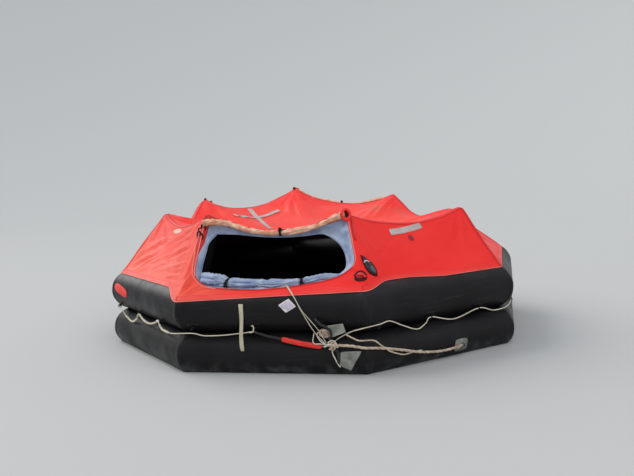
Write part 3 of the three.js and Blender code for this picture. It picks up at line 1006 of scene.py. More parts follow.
@dataclass(frozen=True)
class CanopyForm:
    """The canopy's shape without its thickness, as places on its walls and its roof.

    Everywhere, a place along a side is u, from 0 at its first corner to 1 at its last.

    Attributes:
        knee_radius: How far the knees are from the raft's middle.
        knee_z: Their height.
        roof_centre_z: The roof's height in the middle.
        roof_power: How steeply the roof rises towards its edge.
        roof_rim_z: The edge's height if it were even.
        rim_power: How soon the roof takes up the edge's own ups and downs.
        hem_near: Where a hem's angle starts to change, as a share of its side.
        hem_far: Where that ends.
        hem_clearance: How far the hem is off the tube.
        lean: The angle between the walls' inward direction and straight down, in radians.
        bow: How far the middle of a plain wall is drawn in.
    """

    knee_radius: float = 1.352
    knee_z: float = 1.138
    roof_centre_z: float = 0.83
    roof_power: float = 1.5
    roof_rim_z: float = 1.05
    rim_power: float = 2.1
    hem_near: float = 0.02
    hem_far: float = 0.2
    hem_clearance: float = 0.004
    lean: float = math.atan2(0.498, 0.347)
    bow: float = 0.02

    def hem_angle(self, side: int, u: float) -> float:
        """Returns the hem's place on the upper tube.

        Args:
            side: The side.
            u: The place along it.

        Returns:
            Its angle above the tube's middle, in radians.
        """
        wall = WALLS[side % SIDES]
        if wall.hem is None:
            return math.radians(wall.hem_from + (wall.hem_to - wall.hem_from) * u)
        reach = self.hem_far - self.hem_near
        first = wall.hem_from + (wall.hem - wall.hem_from) * smooth_step((u - self.hem_near) / reach)
        last = wall.hem_to + (wall.hem - wall.hem_to) * smooth_step((1 - u - self.hem_near) / reach)
        crest = wall.crest * smooth_step((u - self.hem_near) / reach) * (1 - smooth_step((u - 0.26) / 0.34))
        return math.radians(min(first, last) + crest)

    def hem(self, side: int, u: float) -> Vector:
        """Returns a place on the hem.

        Args:
            side: The side.
            u: The place along it.

        Returns:
            The place.
        """
        angle = self.hem_angle(side, u)
        radius = TUBE_RADIUS + self.hem_clearance
        apothem = RING_APOTHEM + radius * math.cos(angle)
        z = UPPER_TUBE_Z + radius * math.sin(angle)
        return on_side(side, (2 * u - 1) * apothem * CORNER_TAN, apothem, z)

    def knee(self, corner: int) -> Vector:
        """Returns a knee's tip.

        Args:
            corner: The corner, counted so that corner 0 is after side 0.

        Returns:
            The place.
        """
        pulled = KNEES[corner % SIDES]
        place = outward(corner + 0.5) * (self.knee_radius + pulled.out)
        place += outward(corner + 0.5 + SIDES / 4) * pulled.across
        place.z = self.knee_z + pulled.up
        return place

    def ridge(self, side: int, u: float) -> Vector:
        """Returns a place on the sagging ridge between two knees.

        Args:
            side: The side.
            u: The place along it.

        Returns:
            The place.
        """
        place = self.knee(side - 1).lerp(self.knee(side), u)
        place.z -= WALLS[side % SIDES].drop(u)
        return place

    def inward(self, side: int, u: float) -> Vector:
        """Returns the direction into the tent, straight through a wall."""
        flat = outward(side - 0.5).lerp(outward(side + 0.5), u) / CORNER_COS
        return Vector((-flat.x * math.sin(self.lean), -flat.y * math.sin(self.lean), -math.cos(self.lean)))

    def wall(self, side: int, u: float, v: float, depth: float = 0.0) -> Vector:
        """Returns a place on a wall.

        Args:
            side: The side.
            u: From 0 at the wall's first corner to 1 at its last.
            v: From 0 at the hem to 1 at the ridge.
            depth: Distance into the tent.

        Returns:
            The place.
        """
        place = self.hem(side, u).lerp(self.ridge(side, u), v)
        bow = 0.0 if WALLS[side % SIDES].entrance else self.bow * 16 * u * (1 - u) * v * (1 - v)
        return place + self.inward(side, u) * (depth + bow)

    def roof(self, side: int, u: float, reach: float) -> Vector:
        """Returns a place on the roof.

        Args:
            side: The side.
            u: The place along it.
            reach: 1 on the ridge and 0 in the roof's middle.

        Returns:
            The place.
        """
        rim = self.ridge(side, u)
        z = self.roof_centre_z + (self.roof_rim_z - self.roof_centre_z) * reach ** self.roof_power
        z += (rim.z - self.roof_rim_z) * reach ** self.rim_power
        return Vector((rim.x * reach, rim.y * reach, z))


FORM = CanopyForm()


def across_up(place: Flat) -> Flat:
    """Returns an outline's place in metres as a wall's u and v."""
    return 0.5 + place[0] / SPAN, place[1] / SLOPE


def outline_points(line: Sequence[Sequence[Flat]], counts: Sequence[int]) -> list[Flat]:
    """Returns an outline's four runs, smoothed and shared out evenly.

    Args:
        line: The four runs of places.
        counts: How many steps each run gets.

    Returns:
        The places round the outline, without a doubled one.
    """
    made: list[Flat] = []
    for run, count in zip(line, counts):
        fine = spline_through([Vector((x, y, 0.0)) for x, y in run], 24)
        lengths = [0.0]
        for a, b in zip(fine, fine[1:]):
            lengths.append(lengths[-1] + (b - a).length)
        for k in range(count):
            wanted = lengths[-1] * k / count
            at = max(i for i, value in enumerate(lengths) if value <= wanted + 1e-12)
            at = min(at, len(fine) - 2)
            share = (wanted - lengths[at]) / max(lengths[at + 1] - lengths[at], 1e-9)
            place = fine[at].lerp(fine[at + 1], share)
            made.append((place.x, place.y))
    return made


@dataclass(frozen=True)
class Fold:
    """A fold of the cloth along a nearly straight run.

    Attributes:
        start: Where it starts, narrow.
        end: Where it ends, wide.
        width: Its full width.
        height: Its height or, when negative, its depth.
    """

    start: Vector
    end: Vector
    width: float
    height: float

    def lift(self, places: np.ndarray) -> np.ndarray:
        """Returns how far the fold lifts the cloth.

        Args:
            places: Many places, one a row.

        Returns:
            The lift at each.
        """
        start = np.array(self.start)
        axis = np.array(self.end) - start
        span = float(axis @ axis)
        share = np.clip(((places - start) @ axis) / span, 0.0, 1.0)
        side = np.cross(axis / math.sqrt(span), np.array((0.3, -0.3, 0.9)))
        bend = 0.05 * math.sqrt(span) * np.sin(np.pi * share)
        middle = start + share[:, None] * axis + bend[:, None] * side
        gap = places - middle
        off = np.linalg.norm(gap, axis=1)
        width = self.width * (0.5 + 0.5 * share)
        envelope = np.sin(np.pi * np.clip(share, 0.0, 1.0)) ** 0.6
        crest = np.exp(-np.abs(off / (0.7 * width)) ** 1.6)
        trough = np.exp(-((off / width - 1.35) / 0.6) ** 2)
        return self.height * envelope * (crest - 0.3 * trough)


# Canopy

# Drag folds on the walls, as start, end, width and height
DOORWAY_FOLDS = (
    ((0.035, 0.32), (0.006, 0.13), 0.02, 0.014), ((0.062, 0.25), (0.014, 0.06), 0.02, -0.016),
    ((0.1, 0.2), (0.024, 0.045), 0.02, 0.016), ((0.156, 0.15), (0.034, 0.035), 0.02, -0.015),
    ((0.24, 0.125), (0.07, 0.02), 0.02, 0.012), ((0.34, 0.1), (0.15, 0.015), 0.02, -0.009),
    ((0.93, 0.2), (1.0, 0.04), 0.02, 0.005), ((0.86, 0.15), (0.95, 0.03), 0.02, -0.004),
    ((0.95, 0.3), (1.0, 0.16), 0.018, -0.004),
)
FRONT_LEFT_FOLDS = (
    ((0.33, 0.5), (0.12, 0.09), 0.032, -0.013), ((0.32, 0.36), (0.22, 0.16), 0.024, -0.007),
    ((0.83, 0.75), (0.52, 0.6), 0.03, -0.009), ((0.9, 0.6), (0.58, 0.47), 0.03, -0.008),
    ((0.98, 0.33), (0.62, 0.16), 0.026, -0.008), ((0.96, 0.215), (0.66, 0.085), 0.022, -0.007),
    ((0.93, 0.68), (0.42, 0.4), 0.034, 0.007), ((0.95, 0.44), (0.48, 0.2), 0.032, 0.007),
    ((0.93, 0.92), (0.3, 0.66), 0.045, 0.007), ((0.97, 0.28), (0.62, 0.12), 0.02, 0.005),
    ((0.3, 0.8), (0.06, 0.3), 0.05, 0.008), ((0.99, 0.82), (0.66, 0.68), 0.02, 0.006),
    ((0.99, 0.7), (0.72, 0.58), 0.018, -0.006), ((0.99, 0.58), (0.7, 0.45), 0.018, 0.006),
    ((0.985, 0.48), (0.72, 0.36), 0.018, -0.006), ((0.56, 0.55), (0.3, 0.24), 0.02, 0.006),
    ((0.62, 0.4), (0.4, 0.14), 0.02, -0.006), ((0.24, 0.46), (0.08, 0.16), 0.016, 0.006),
    ((0.5, 0.86), (0.2, 0.5), 0.024, -0.006),
)
FRONT_RIGHT_FOLDS = (
    ((0.36, 0.76), (0.16, 0.33), 0.03, -0.006), ((0.05, 0.9), (0.3, 0.5), 0.04, 0.005),
    ((0.975, 0.985), (0.91, 0.66), 0.018, 0.006), ((0.965, 0.99), (0.86, 0.7), 0.016, -0.005),
    ((0.955, 0.99), (0.8, 0.68), 0.02, 0.006),
)
# Where the fans of folds from a plain wall's knees and from its hem's corners end, as u and v
KNEE_FAN = ((0.13, 0.3), (0.27, 0.4), (0.42, 0.66))
HEM_FAN = ((0.1, 0.44), (0.32, 0.22))
# The sides with the folds that they have
WALL_FOLDS = ((0, DOORWAY_FOLDS), (SIDES // 2, DOORWAY_FOLDS), (7, FRONT_LEFT_FOLDS), (1, FRONT_RIGHT_FOLDS))
# Folds on the roof, as start, end, width and height, each place as side, u and reach
ROOF_FOLDS = (
    ((5, 0.975, 0.97), (5, 0.72, 0.5), 0.06, -0.006), ((3, 0.985, 0.96), (3, 0.85, 0.65), 0.03, 0.011),
    ((3, 0.93, 0.96), (3, 0.72, 0.66), 0.03, -0.008),
)


@dataclass
class Canopy:
    """The whole canopy as one sheet: eight walls, two doorways and the sagging roof.

    Attributes:
        columns: How many faces a wall has along it.
        rows: How many a plain wall has from hem to ridge.
        ring_rows: How many a doorway's wall has from its edge to its doorway.
        roof_rows: How many the roof has from its ridge to its middle.
        fine_rows: How many of those have every column. The rest have every second one.
        thickness: The cloth's thickness.
        seed: The seed of what is uneven.
        places: The vertices made so far.
        faces: The faces made so far.
        known: The number of the vertex at each place, in hundredths of a millimetre.
        fixed: The vertices that stay in place when the seams are rounded.
    """

    columns: int = 84
    rows: int = 42
    ring_rows: int = 16
    roof_rows: int = 30
    fine_rows: int = 11
    thickness: float = 0.003
    seed: int = 7
    places: list[Vector] = field(default_factory=list)
    faces: list[tuple[int, ...]] = field(default_factory=list)
    known: dict[tuple[int, int, int], int] = field(default_factory=dict)
    fixed: set[int] = field(default_factory=set)

    def number(self, place: Vector, fixed: bool = False) -> int:
        """Returns a place's vertex number, the same one for the same place.

        Args:
            place: The place.
            fixed: Whether it stays in place when the seams are rounded.

        Returns:
            The number.
        """
        key = (round(place.x * 1e5), round(place.y * 1e5), round(place.z * 1e5))
        if key not in self.known:
            self.known[key] = len(self.places)
            self.places.append(place)
        if fixed:
            self.fixed.add(self.known[key])
        return self.known[key]

    def patch(self, rows: list[list[int]]) -> None:
        """Adds the faces between rows.

        Args:
            rows: The vertex numbers, row by row.
        """
        for low, high in zip(rows, rows[1:]):
            for i in range(len(low) - 1):
                face = []
                for number in (low[i], low[i + 1], high[i + 1], high[i]):
                    if number not in face:
                        face.append(number)
                if len(face) > 2:
                    self.faces.append(tuple(face))

    def plain_wall(self, side: int) -> None:
        """Adds a wall without a doorway.

        Args:
            side: Its side.
        """
        rows = []
        for j in range(self.rows + 1):
            line = [FORM.wall(side, i / self.columns, j / self.rows) for i in range(self.columns + 1)]
            rows.append([self.number(place, j == 0) for place in line])
        self.patch(rows)

    def doorway_wall(self, side: int) -> None:
        """Adds a wall as a frame round its doorway.

        Args:
            side: Its side.
        """
        rim: list[Flat] = []
        rim += [(i / self.columns, 0.0) for i in range(self.columns)]
        rim += [(1.0, j / self.rows) for j in range(self.rows)]
        rim += [(1 - i / self.columns, 1.0) for i in range(self.columns)]
        rim += [(0.0, 1 - j / self.rows) for j in range(self.rows)]
        counts = (self.columns, self.rows, self.columns, self.rows)
        opening = [across_up(p) for p in outline_points(DOORWAY_LINE, counts)]
        rows = []
        for r in range(self.ring_rows + 1):
            share = r / self.ring_rows
            row = []
            for (u0, v0), (u1, v1) in zip(rim, opening):
                place = FORM.wall(side, u0 + (u1 - u0) * share, v0 + (v1 - v0) * share)
                row.append(self.number(place, r == self.ring_rows or (r == 0 and v0 == 0.0)))
            rows.append(row + row[:1])
        self.patch(rows)

    def roof(self) -> None:
        """Adds the roof, closed by a fan in the middle."""
        fine, coarse = [], []
        for r in range(self.roof_rows):
            reach = (1 - r / self.roof_rows) ** 1.15
            row = []
            for side in range(SIDES):
                row += [self.number(FORM.roof(side, i / self.columns, reach)) for i in range(self.columns)]
            row += row[:1]
            if r <= self.fine_rows:
                fine.append(row)
            if r >= self.fine_rows:
                coarse.append(row[::2])
        self.patch(fine[:-1])
        above, below = fine[-2], coarse[0]
        for k in range(len(below) - 1):
            self.faces.append((above[2 * k], above[2 * k + 1], below[k]))
            self.faces.append((above[2 * k + 1], above[2 * k + 2], below[k + 1], below[k]))
        self.patch(coarse)
        middle = self.number(Vector((0, 0, FORM.roof_centre_z)))
        last = coarse[-1]
        self.faces += [(last[i], last[i + 1], middle) for i in range(len(last) - 1)]

    def folds(self) -> list[Fold]:
        """Returns the cloth's folds.

        Returns:
            Fans at the plain walls' knees and hem corners and over the roof, the drag folds from the
            tables and the pleats from one peak.
        """
        chance = random.Random(self.seed)
        made = []

        def on_wall(side: int, start: Flat, end: Flat, width: float, height: float) -> None:
            """Adds a fold between two places on a wall."""
            made.append(Fold(FORM.wall(side, *start), FORM.wall(side, *end), width, height))

        def on_roof(start: Triple, end: Triple, width: float, height: float) -> None:
            """Adds a fold between two places on the roof."""
            made.append(Fold(FORM.roof(*start), FORM.roof(*end), width, height))

        for side, wall in enumerate(WALLS):
            slack = 0.45 if side == 1 else 1.0
            if not wall.entrance:
                # In each fan the folds stand out and go in by turns
                for flip in (False, True):
                    for k, (u, v) in enumerate(KNEE_FAN):
                        u += chance.uniform(-0.04, 0.04)
                        v += chance.uniform(-0.08, 0.08)
                        height = slack * chance.uniform(0.006, 0.011) * (-0.8 if k % 2 else 1)
                        ends = ((0.97, 0.95), (1 - u, v)) if flip else ((0.03, 0.95), (u, v))
                        on_wall(side, *ends, chance.uniform(0.036, 0.055), height)
                    for k, (u, v) in enumerate(HEM_FAN):
                        u += chance.uniform(-0.03, 0.03)
                        height = slack * chance.uniform(0.004, 0.008) * (1 if k % 2 else -0.8)
                        ends = ((0.97, 0.05), (1 - u, v)) if flip else ((0.03, 0.05), (u, v))
                        on_wall(side, *ends, chance.uniform(0.03, 0.045), height)
            # From the knees over the roof
            for start_u in (0.02, 0.98):
                for k in range(4):
                    u = 0.08 + 0.13 * k + chance.uniform(-0.03, 0.03)
                    u = u if start_u < 0.5 else 1 - u
                    reach = 0.6 + 0.06 * k + chance.uniform(-0.1, 0.06)
                    height = chance.uniform(0.007, 0.013) * (1 if k % 2 else -0.9)
                    on_roof((side, start_u, 0.985), (side, u, reach), chance.uniform(0.035, 0.055), height)
        for side, table in WALL_FOLDS:
            for row in table:
                on_wall(side, *row)
        # Fine pleats from the peak between sides 4 and 5
        for k in range(13):
            side, u = (4, 0.62 + 0.06 * k) if k < 7 else (5, 0.03 + 0.07 * (k - 7))
            start = (side, 0.985 if side == 4 else 0.015, 0.965)
            on_roof(start, (side, min(u, 0.985), 0.36 + 0.07 * (k % 4)), 0.02, 0.0075 if k % 2 else -0.006)
        for row in ROOF_FOLDS:
            on_roof(*row)
        return made

    def build(self) -> Piece:
        """Builds the sheet with its folds and gives it its thickness.

        Returns:
            The canopy's object.
        """
        for side, wall in enumerate(WALLS):
            if wall.entrance:
                self.doorway_wall(side)
            else:
                self.plain_wall(side)
        self.roof()
        used = sorted({n for face in self.faces for n in face})
        renumbered = {old: new for new, old in enumerate(used)}
        self.fixed = {renumbered[n] for n in self.fixed if n in renumbered}
        faces = [tuple(renumbered[n] for n in face) for face in self.faces]
        piece = mesh_piece("canopy", [self.places[n] for n in used], faces)
        self.soften(piece, rounds=5)
        self.pull_maps(piece)
        self.crumple(piece)
        return piece

    def pull_maps(self, piece: Piece) -> None:
        """Maps each place by its angle round the nearest held point and its distance from it.

        Args:
            piece: The sheet, which gets one map for the knees and one for the hem's corners.
        """
        high = [FORM.knee(corner) for corner in range(SIDES)]
        low = [FORM.hem(side, 0.0) for side in range(SIDES)]
        for side in (0, SIDES // 2):
            low += [FORM.wall(side, *across_up(place)) for place in ((-0.5, 0.14), (0.53, 0.12))]
        for name, held in (("pull_high", high), ("pull_low", low)):
            layer = piece.data.uv_layers.new(name=name)
            flat = []
            for vertex in piece.data.vertices:
                gaps = [(point - vertex.co).length_squared for point in held]
                nearest = gaps.index(min(gaps))
                away = vertex.co - held[nearest]
                out = Vector((held[nearest].x, held[nearest].y, 0.0)).normalized()
                around = Vector((-out.y, out.x, 0.0))
                if name == "pull_high":
                    angle = math.atan2(away.dot(around), away.dot(out))
                else:
                    angle = math.atan2(away.dot(around), away.z)
                flat.append((angle + nearest * 7.0, away.length))
            for polygon in piece.data.polygons:
                numbers = [piece.data.loops[i].vertex_index for i in polygon.loop_indices]
                first = flat[numbers[0]][0]
                for loop, number in zip(polygon.loop_indices, numbers):
                    angle = flat[number][0]
                    if abs(angle - first) > math.pi:
                        angle = first
                    layer.data[loop].uv = (angle, flat[number][1])

    def soften(self, piece: Piece, rounds: int) -> None:
        """Rounds the seams a little, keeping the hem and the doorways in place.

        Args:
            piece: The sheet.
            rounds: How many times it is smoothed.
        """
        cage = bmesh.new()
        cage.from_mesh(piece.data)
        cage.verts.ensure_lookup_table()
        free = [v for v in cage.verts if v.index not in self.fixed]
        every_way = {"use_axis_x": True, "use_axis_y": True, "use_axis_z": True}
        for _ in range(rounds):
            bmesh.ops.smooth_vert(cage, verts=free, factor=0.5, **every_way)
        cage.to_mesh(piece.data)
        cage.free()
        piece.data.update()

    def crumple(self, piece: Piece) -> None:
        """Lifts the cloth along its normals by its folds and a slow unevenness.

        Args:
            piece: The sheet.
        """
        count = len(piece.data.vertices)
        places = np.empty(count * 3)
        piece.data.vertices.foreach_get("co", places)
        places = places.reshape(-1, 3)
        normals = np.array([v.normal for v in piece.data.vertices])
        lift = np.zeros(count)
        for fold in self.folds():
            lift += fold.lift(places)
        slow = [noise.noise(Vector(p) * 2.6) * 0.012 + noise.noise(Vector(p) * 7.0) * 0.004 for p in places]
        lift += np.array(slow)
        hem_off = np.array([self.off_tube(p) for p in places])
        lift *= np.clip(hem_off / 0.04, 0.12, 1.0)
        places += normals * lift[:, None]
        piece.data.vertices.foreach_set("co", places.ravel())
        piece.data.update()

    @staticmethod
    def off_tube(place: np.ndarray) -> float:
        """Returns how far a place is off the upper tube.

        Args:
            place: The place.

        Returns:
            The distance from the tube's surface.
        """
        x, y, z = place
        apothem = max(outward(k).x * x + outward(k).y * y for k in range(SIDES))
        return math.hypot(apothem - RING_APOTHEM, z - UPPER_TUBE_Z) - TUBE_RADIUS

    def dress(self, piece: Piece) -> BVHTree:
        """Args:
            piece: The sheet from build.

        Returns:
            A tree of its outer surface, for laying other pieces on.
        """
        tree = surface_tree(piece)
        for finish in (CANOPY_RED, INNER_TENT):
            piece.data.materials.append(finish.material())
        with_modifier(piece, "SOLIDIFY", thickness=self.thickness, offset=-1.0, material_offset=1)
        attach(piece, "root")
        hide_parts("canopy_roof", *(f"canopy_wall_{wall.name}" for wall in WALLS))
        return tree


# Surfaces and the tapes on them

def surface_tree(*pieces: Piece) -> BVHTree:
    """Returns a search tree of the faces of one or more pieces.

    Args:
        *pieces: The objects.

    Returns:
        The tree.
    """
    places: list[Vector] = []
    faces: list[tuple[int, ...]] = []
    for piece in pieces:
        first = len(places)
        places += [v.co.copy() for v in piece.data.vertices]
        faces += [tuple(first + n for n in p.vertices) for p in piece.data.polygons]
    return BVHTree.FromPolygons(places, faces)


def laid(tree: BVHTree, place: Vector, lift: float) -> Vector:
    """Returns the place on a surface nearest to another place, lifted off it."""
    near, normal, _, _ = tree.find_nearest(place)
    return near + normal * lift


def dropped(tree: BVHTree, x: float, y: float) -> Vector:
    """Returns the place on a surface straight under a point above it."""
    return tree.ray_cast(Vector((x, y, 3.0)), Vector((0, 0, -1)))[0]


def across_at(line: Sequence[Vector], i: int, tree: BVHTree) -> tuple[Vector, Vector]:
    """Looks at a surface under a line.

    Args:
        line: The line, near the surface.
        i: The number of its point.
        tree: The surface.

    Returns:
        The place on the surface under the point, and the direction there across the line.
    """
    before, after = line[max(i - 1, 0)], line[min(i + 1, len(line) - 1)]
    near, normal, _, _ = tree.find_nearest(line[i])
    return near, (after - before).normalized().cross(normal).normalized()


def laid_strip(name: str, line: Sequence[Vector], width: float, tree: BVHTree, lift: float) -> Piece:
    """Lays a strip of tape along a line on a surface.

    Args:
        name: The piece's name.
        line: The strip's middle line, near the surface.
        width: Its width.
        tree: The surface.
        lift: How far its middle face is off the surface.

    Returns:
        The strip with closed sides.
    """
    columns = 7
    places = []
    for i in range(len(line)):
        near, across = across_at(line, i, tree)
        for k in range(columns):
            share = k / (columns - 1) - 0.5
            places.append(laid(tree, near + across * width * share, lift))
    piece = mesh_piece(name, places, turned_over(grid_faces(columns, len(line))))
    set_uv(piece, columns, len(line), width, length_of(line))
    return thickened(piece, TAPE_THICKNESS)


# Buoyancy

@dataclass
class BuoyancyTubes:
    """The two ring tubes, each of eight straight lengths joined by taped mitres.

    Attributes:
        around: How many faces a tube has round it.
        tape_half: Half the width of a mitre's tape.
        tape_height: How far the tape stands off the tube.
        flat: Half the gap that keeps the two tubes' flattened faces apart.
    """

    around: int = 56
    tape_half: float = 0.032
    tape_height: float = 0.0016
    flat: float = 0.0004

    def stations(self) -> list[float]:
        """Returns the places along one side.

        Returns:
            Shares from -1 to 1, closer together at the mitres' tapes.
        """
        edge = 1 - self.tape_half / HALF_SIDE
        close = [edge - 0.05, edge - 0.02, edge - 0.0035, edge, 1 - 0.25 * (1 - edge)]
        middle = list(np.linspace(-(edge - 0.08), edge - 0.08, 26))
        return [-x for x in close[::-1]] + middle + close

    def section(self, turn: float, along: float, angle: float, centre_z: float, taped: bool) -> Vector:
        """Returns a place on a tube's surface.

        Args:
            turn: The side.
            along: The share along it, from -1 to 1.
            angle: The angle round the tube.
            centre_z: The height of its middle.
            taped: Whether the place is on a mitre's tape.

        Returns:
            The place.
        """
        radius = TUBE_RADIUS + (self.tape_height if taped else 0.0)
        pucker = math.exp(-((1 - abs(along)) / 0.06) ** 2) * 0.0035 * math.cos(angle * 9 + turn * 2.1)
        inner = 0.5 - 0.5 * math.cos(angle)
        radius += pucker * (0.25 + inner)
        apothem = RING_APOTHEM + radius * math.cos(angle)
        z = centre_z + radius * math.sin(angle)
        return on_side(turn, along * apothem * CORNER_TAN, apothem, z)

    def build(self, name: str, centre_z: float) -> Piece:
        """Builds one ring tube.

        Args:
            name: The piece's name.
            centre_z: The height of its middle.

        Returns:
            The object.
        """
        places = []
        stations = self.stations()
        middle = (LOWER_TUBE_Z + UPPER_TUBE_Z) / 2
        for side in range(SIDES):
            for along in stations:
                taped = (1 - abs(along)) * HALF_SIDE < self.tape_half + 1e-6
                for k in range(self.around):
                    angle = 2 * math.pi * k / self.around
                    place = self.section(side, along, angle, centre_z, taped)
                    place += self.ripple(place, angle)
                    if centre_z < middle:
                        place.z = min(max(place.z, 0.0), middle - self.flat)
                    else:
                        place.z = max(place.z, middle + self.flat)
                    places.append(place)
        count = len(stations) * SIDES
        faces = turned_over(grid_faces(self.around, count, closed=True))
        last = (count - 1) * self.around
        for k in range(self.around):
            after = (k + 1) % self.around
            faces.append((last + k, k, after, last + after))
        piece = mesh_piece(name, places, faces)
        outward_normals(piece)
        return piece

    @staticmethod
    def ripple(place: Vector, angle: float) -> Vector:
        """Returns a small slow unevenness of the fabric.

        Args:
            place: The place on the tube.
            angle: Its angle round the tube.

        Returns:
            How far it is moved.
        """
        out = Vector((place.x, place.y, 0.0)).normalized() * math.cos(angle) + Vector((0, 0, math.sin(angle)))
        fine = noise.noise(Vector((place.x * 4, place.y * 4, place.z * 16)))
        return out * (noise.noise(place * 2.6) * 0.003 + fine * 0.0006)


@dataclass
class Struts:
    """The eight leaning posts under the knees.

    Attributes:
        radius: A post's radius.
        tip_radius: The radius that it tapers to.
        foot_radius: How far its foot is from the raft's middle.
        foot_z: Its foot's height.
        inset: How far its tip is in from the knee's.
        drop: How far its tip is below the knee's.
    """

    radius: float = 0.052
    tip_radius: float = 0.026
    foot_radius: float = 1.56
    foot_z: float = 0.61
    inset: float = 0.075
    drop: float = 0.07

    def build(self, corner: int) -> Piece:
        """Builds one post, swollen and tapered to its tip.

        Args:
            corner: Its corner.

        Returns:
            The object.
        """
        foot = outward(corner + 0.5) * self.foot_radius
        foot.z = self.foot_z
        tip = FORM.knee(corner) - outward(corner + 0.5) * self.inset
        tip.z -= self.drop
        line = [foot.lerp(tip, i / 28) for i in range(29)]

        def swell(share: float, angle: float) -> float:
            """Returns the post's radius factor.

            Args:
                share: The place along it, from 0 to 1.
                angle: The angle round it.

            Returns:
                The factor.
            """
            taper = 1 - (1 - self.tip_radius / self.radius) * smooth_step((share - 0.7) / 0.28)
            end = 1.0 if share < 0.97 else 0.55
            return taper * end * (1 + 0.012 * math.sin(6 * angle) * math.exp(-share * 9))

        return tube_piece(f"strut_{corner + 1}_skin", line, self.radius, 20, swell=swell)


# Plates that lie on a surface

def local_axes(tree: BVHTree, place: Vector) -> tuple[Vector, Vector, Vector, Vector]:
    """Looks at a surface near a place.

    Args:
        tree: The surface.
        place: The place.

    Returns:
        The nearest place on the surface, and its level, upward and outward directions.
    """
    near, normal, _, _ = tree.find_nearest(place)
    level = Vector((0, 0, 1)).cross(normal)
    level = level.normalized() if level.length > 0.05 else Vector((1, 0, 0))
    return near, level, normal.cross(level).normalized(), normal


def laid_disc(name: str, tree: BVHTree, centre: Vector, shape: Outline, lift: float, dome: float = 0.0,
              turn: float = 0.0, thickness: float = 0.002) -> Piece:
    """Lays a closed outline on a surface as a thin plate.

    Args:
        name: The piece's name.
        tree: The surface.
        centre: The plate's middle, near the surface.
        shape: Gives a place on the outline from an angle, in metres.
        lift: How far the plate is off the surface.
        dome: How much higher its middle is.
        turn: How far it is turned on the surface, anticlockwise.
        thickness: Its thickness.

    Returns:
        The plate.
    """
    near, level, up, _ = local_axes(tree, centre)
    rings, sectors = 6, 40
    places = [laid(tree, near, lift + dome)]
    for ring in range(1, rings + 1):
        share = ring / rings
        for k in range(sectors):
            x, y = shape(2 * math.pi * k / sectors)
            x, y = x * share, y * share
            x, y = x * math.cos(turn) - y * math.sin(turn), x * math.sin(turn) + y * math.cos(turn)
            places.append(laid(tree, near + level * x + up * y, lift + dome * (1 - share * share)))
    faces = [(0, 1 + k, 1 + (k + 1) % sectors) for k in range(sectors)]
    faces += [tuple(1 + n for n in face) for face in grid_faces(sectors, rings, closed=True)]
    piece = mesh_piece(name, places, faces)
    outward_sheet(piece, tree)
    set_flat_uv(piece)
    return thickened(piece, thickness)


def outward_sheet(piece: Piece, tree: BVHTree) -> None:
    """Turns an open sheet's faces the way the surface under it faces.

    Args:
        piece: The sheet.
        tree: The surface.
    """
    cage = bmesh.new()
    cage.from_mesh(piece.data)
    bmesh.ops.recalc_face_normals(cage, faces=cage.faces)
    cage.faces.ensure_lookup_table()
    face = cage.faces[len(cage.faces) // 2]
    _, normal, _, _ = tree.find_nearest(face.calc_center_median())
    if face.normal.dot(normal) < 0:
        bmesh.ops.reverse_faces(cage, faces=cage.faces)
    cage.to_mesh(piece.data)
    cage.free()


def set_flat_uv(piece: Piece) -> None:
    """Gives a small piece a UV map in metres from its places.

    Args:
        piece: The object.
    """
    layer = piece.data.uv_layers.new(name="cloth")
    for loop in piece.data.loops:
        place = piece.data.vertices[loop.vertex_index].co
        layer.data[loop.index].uv = (place.x + place.y * 0.4, place.z + place.y * 0.6)


@dataclass(frozen=True)
class Oval:
    """An oval outline, called with an angle to get the place there."""

    half_width: float
    half_height: float

    def __call__(self, angle: float) -> Flat:
        """Returns the outline's place at an angle."""
        return self.half_width * math.cos(angle), self.half_height * math.sin(angle)


@dataclass(frozen=True)
class SoftBox(Oval):
    """A rectangle with soft corners, squarer with more power."""

    power: float = 5.0

    def __call__(self, angle: float) -> Flat:
        """Returns the outline's place at an angle.

        Args:
            angle: The angle.

        Returns:
            The place.
        """
        c, s = math.cos(angle), math.sin(angle)
        reach = (abs(c) ** self.power + abs(s) ** self.power) ** (-1 / self.power)
        return self.half_width * c * reach, self.half_height * s * reach


@dataclass(frozen=True)
class Leaf(Oval):
    """An oval that comes to a point at its upper end."""

    def __call__(self, angle: float) -> Flat:
        """Returns the outline's place at an angle.

        Args:
            angle: The angle.

        Returns:
            The place.
        """
        y = math.sin(angle)
        power = 1.4 if y > 0 else 3.2
        return self.half_width * math.copysign((1 - abs(y) ** power), math.cos(angle)), self.half_height * y


# Repeated things, made with geometry nodes

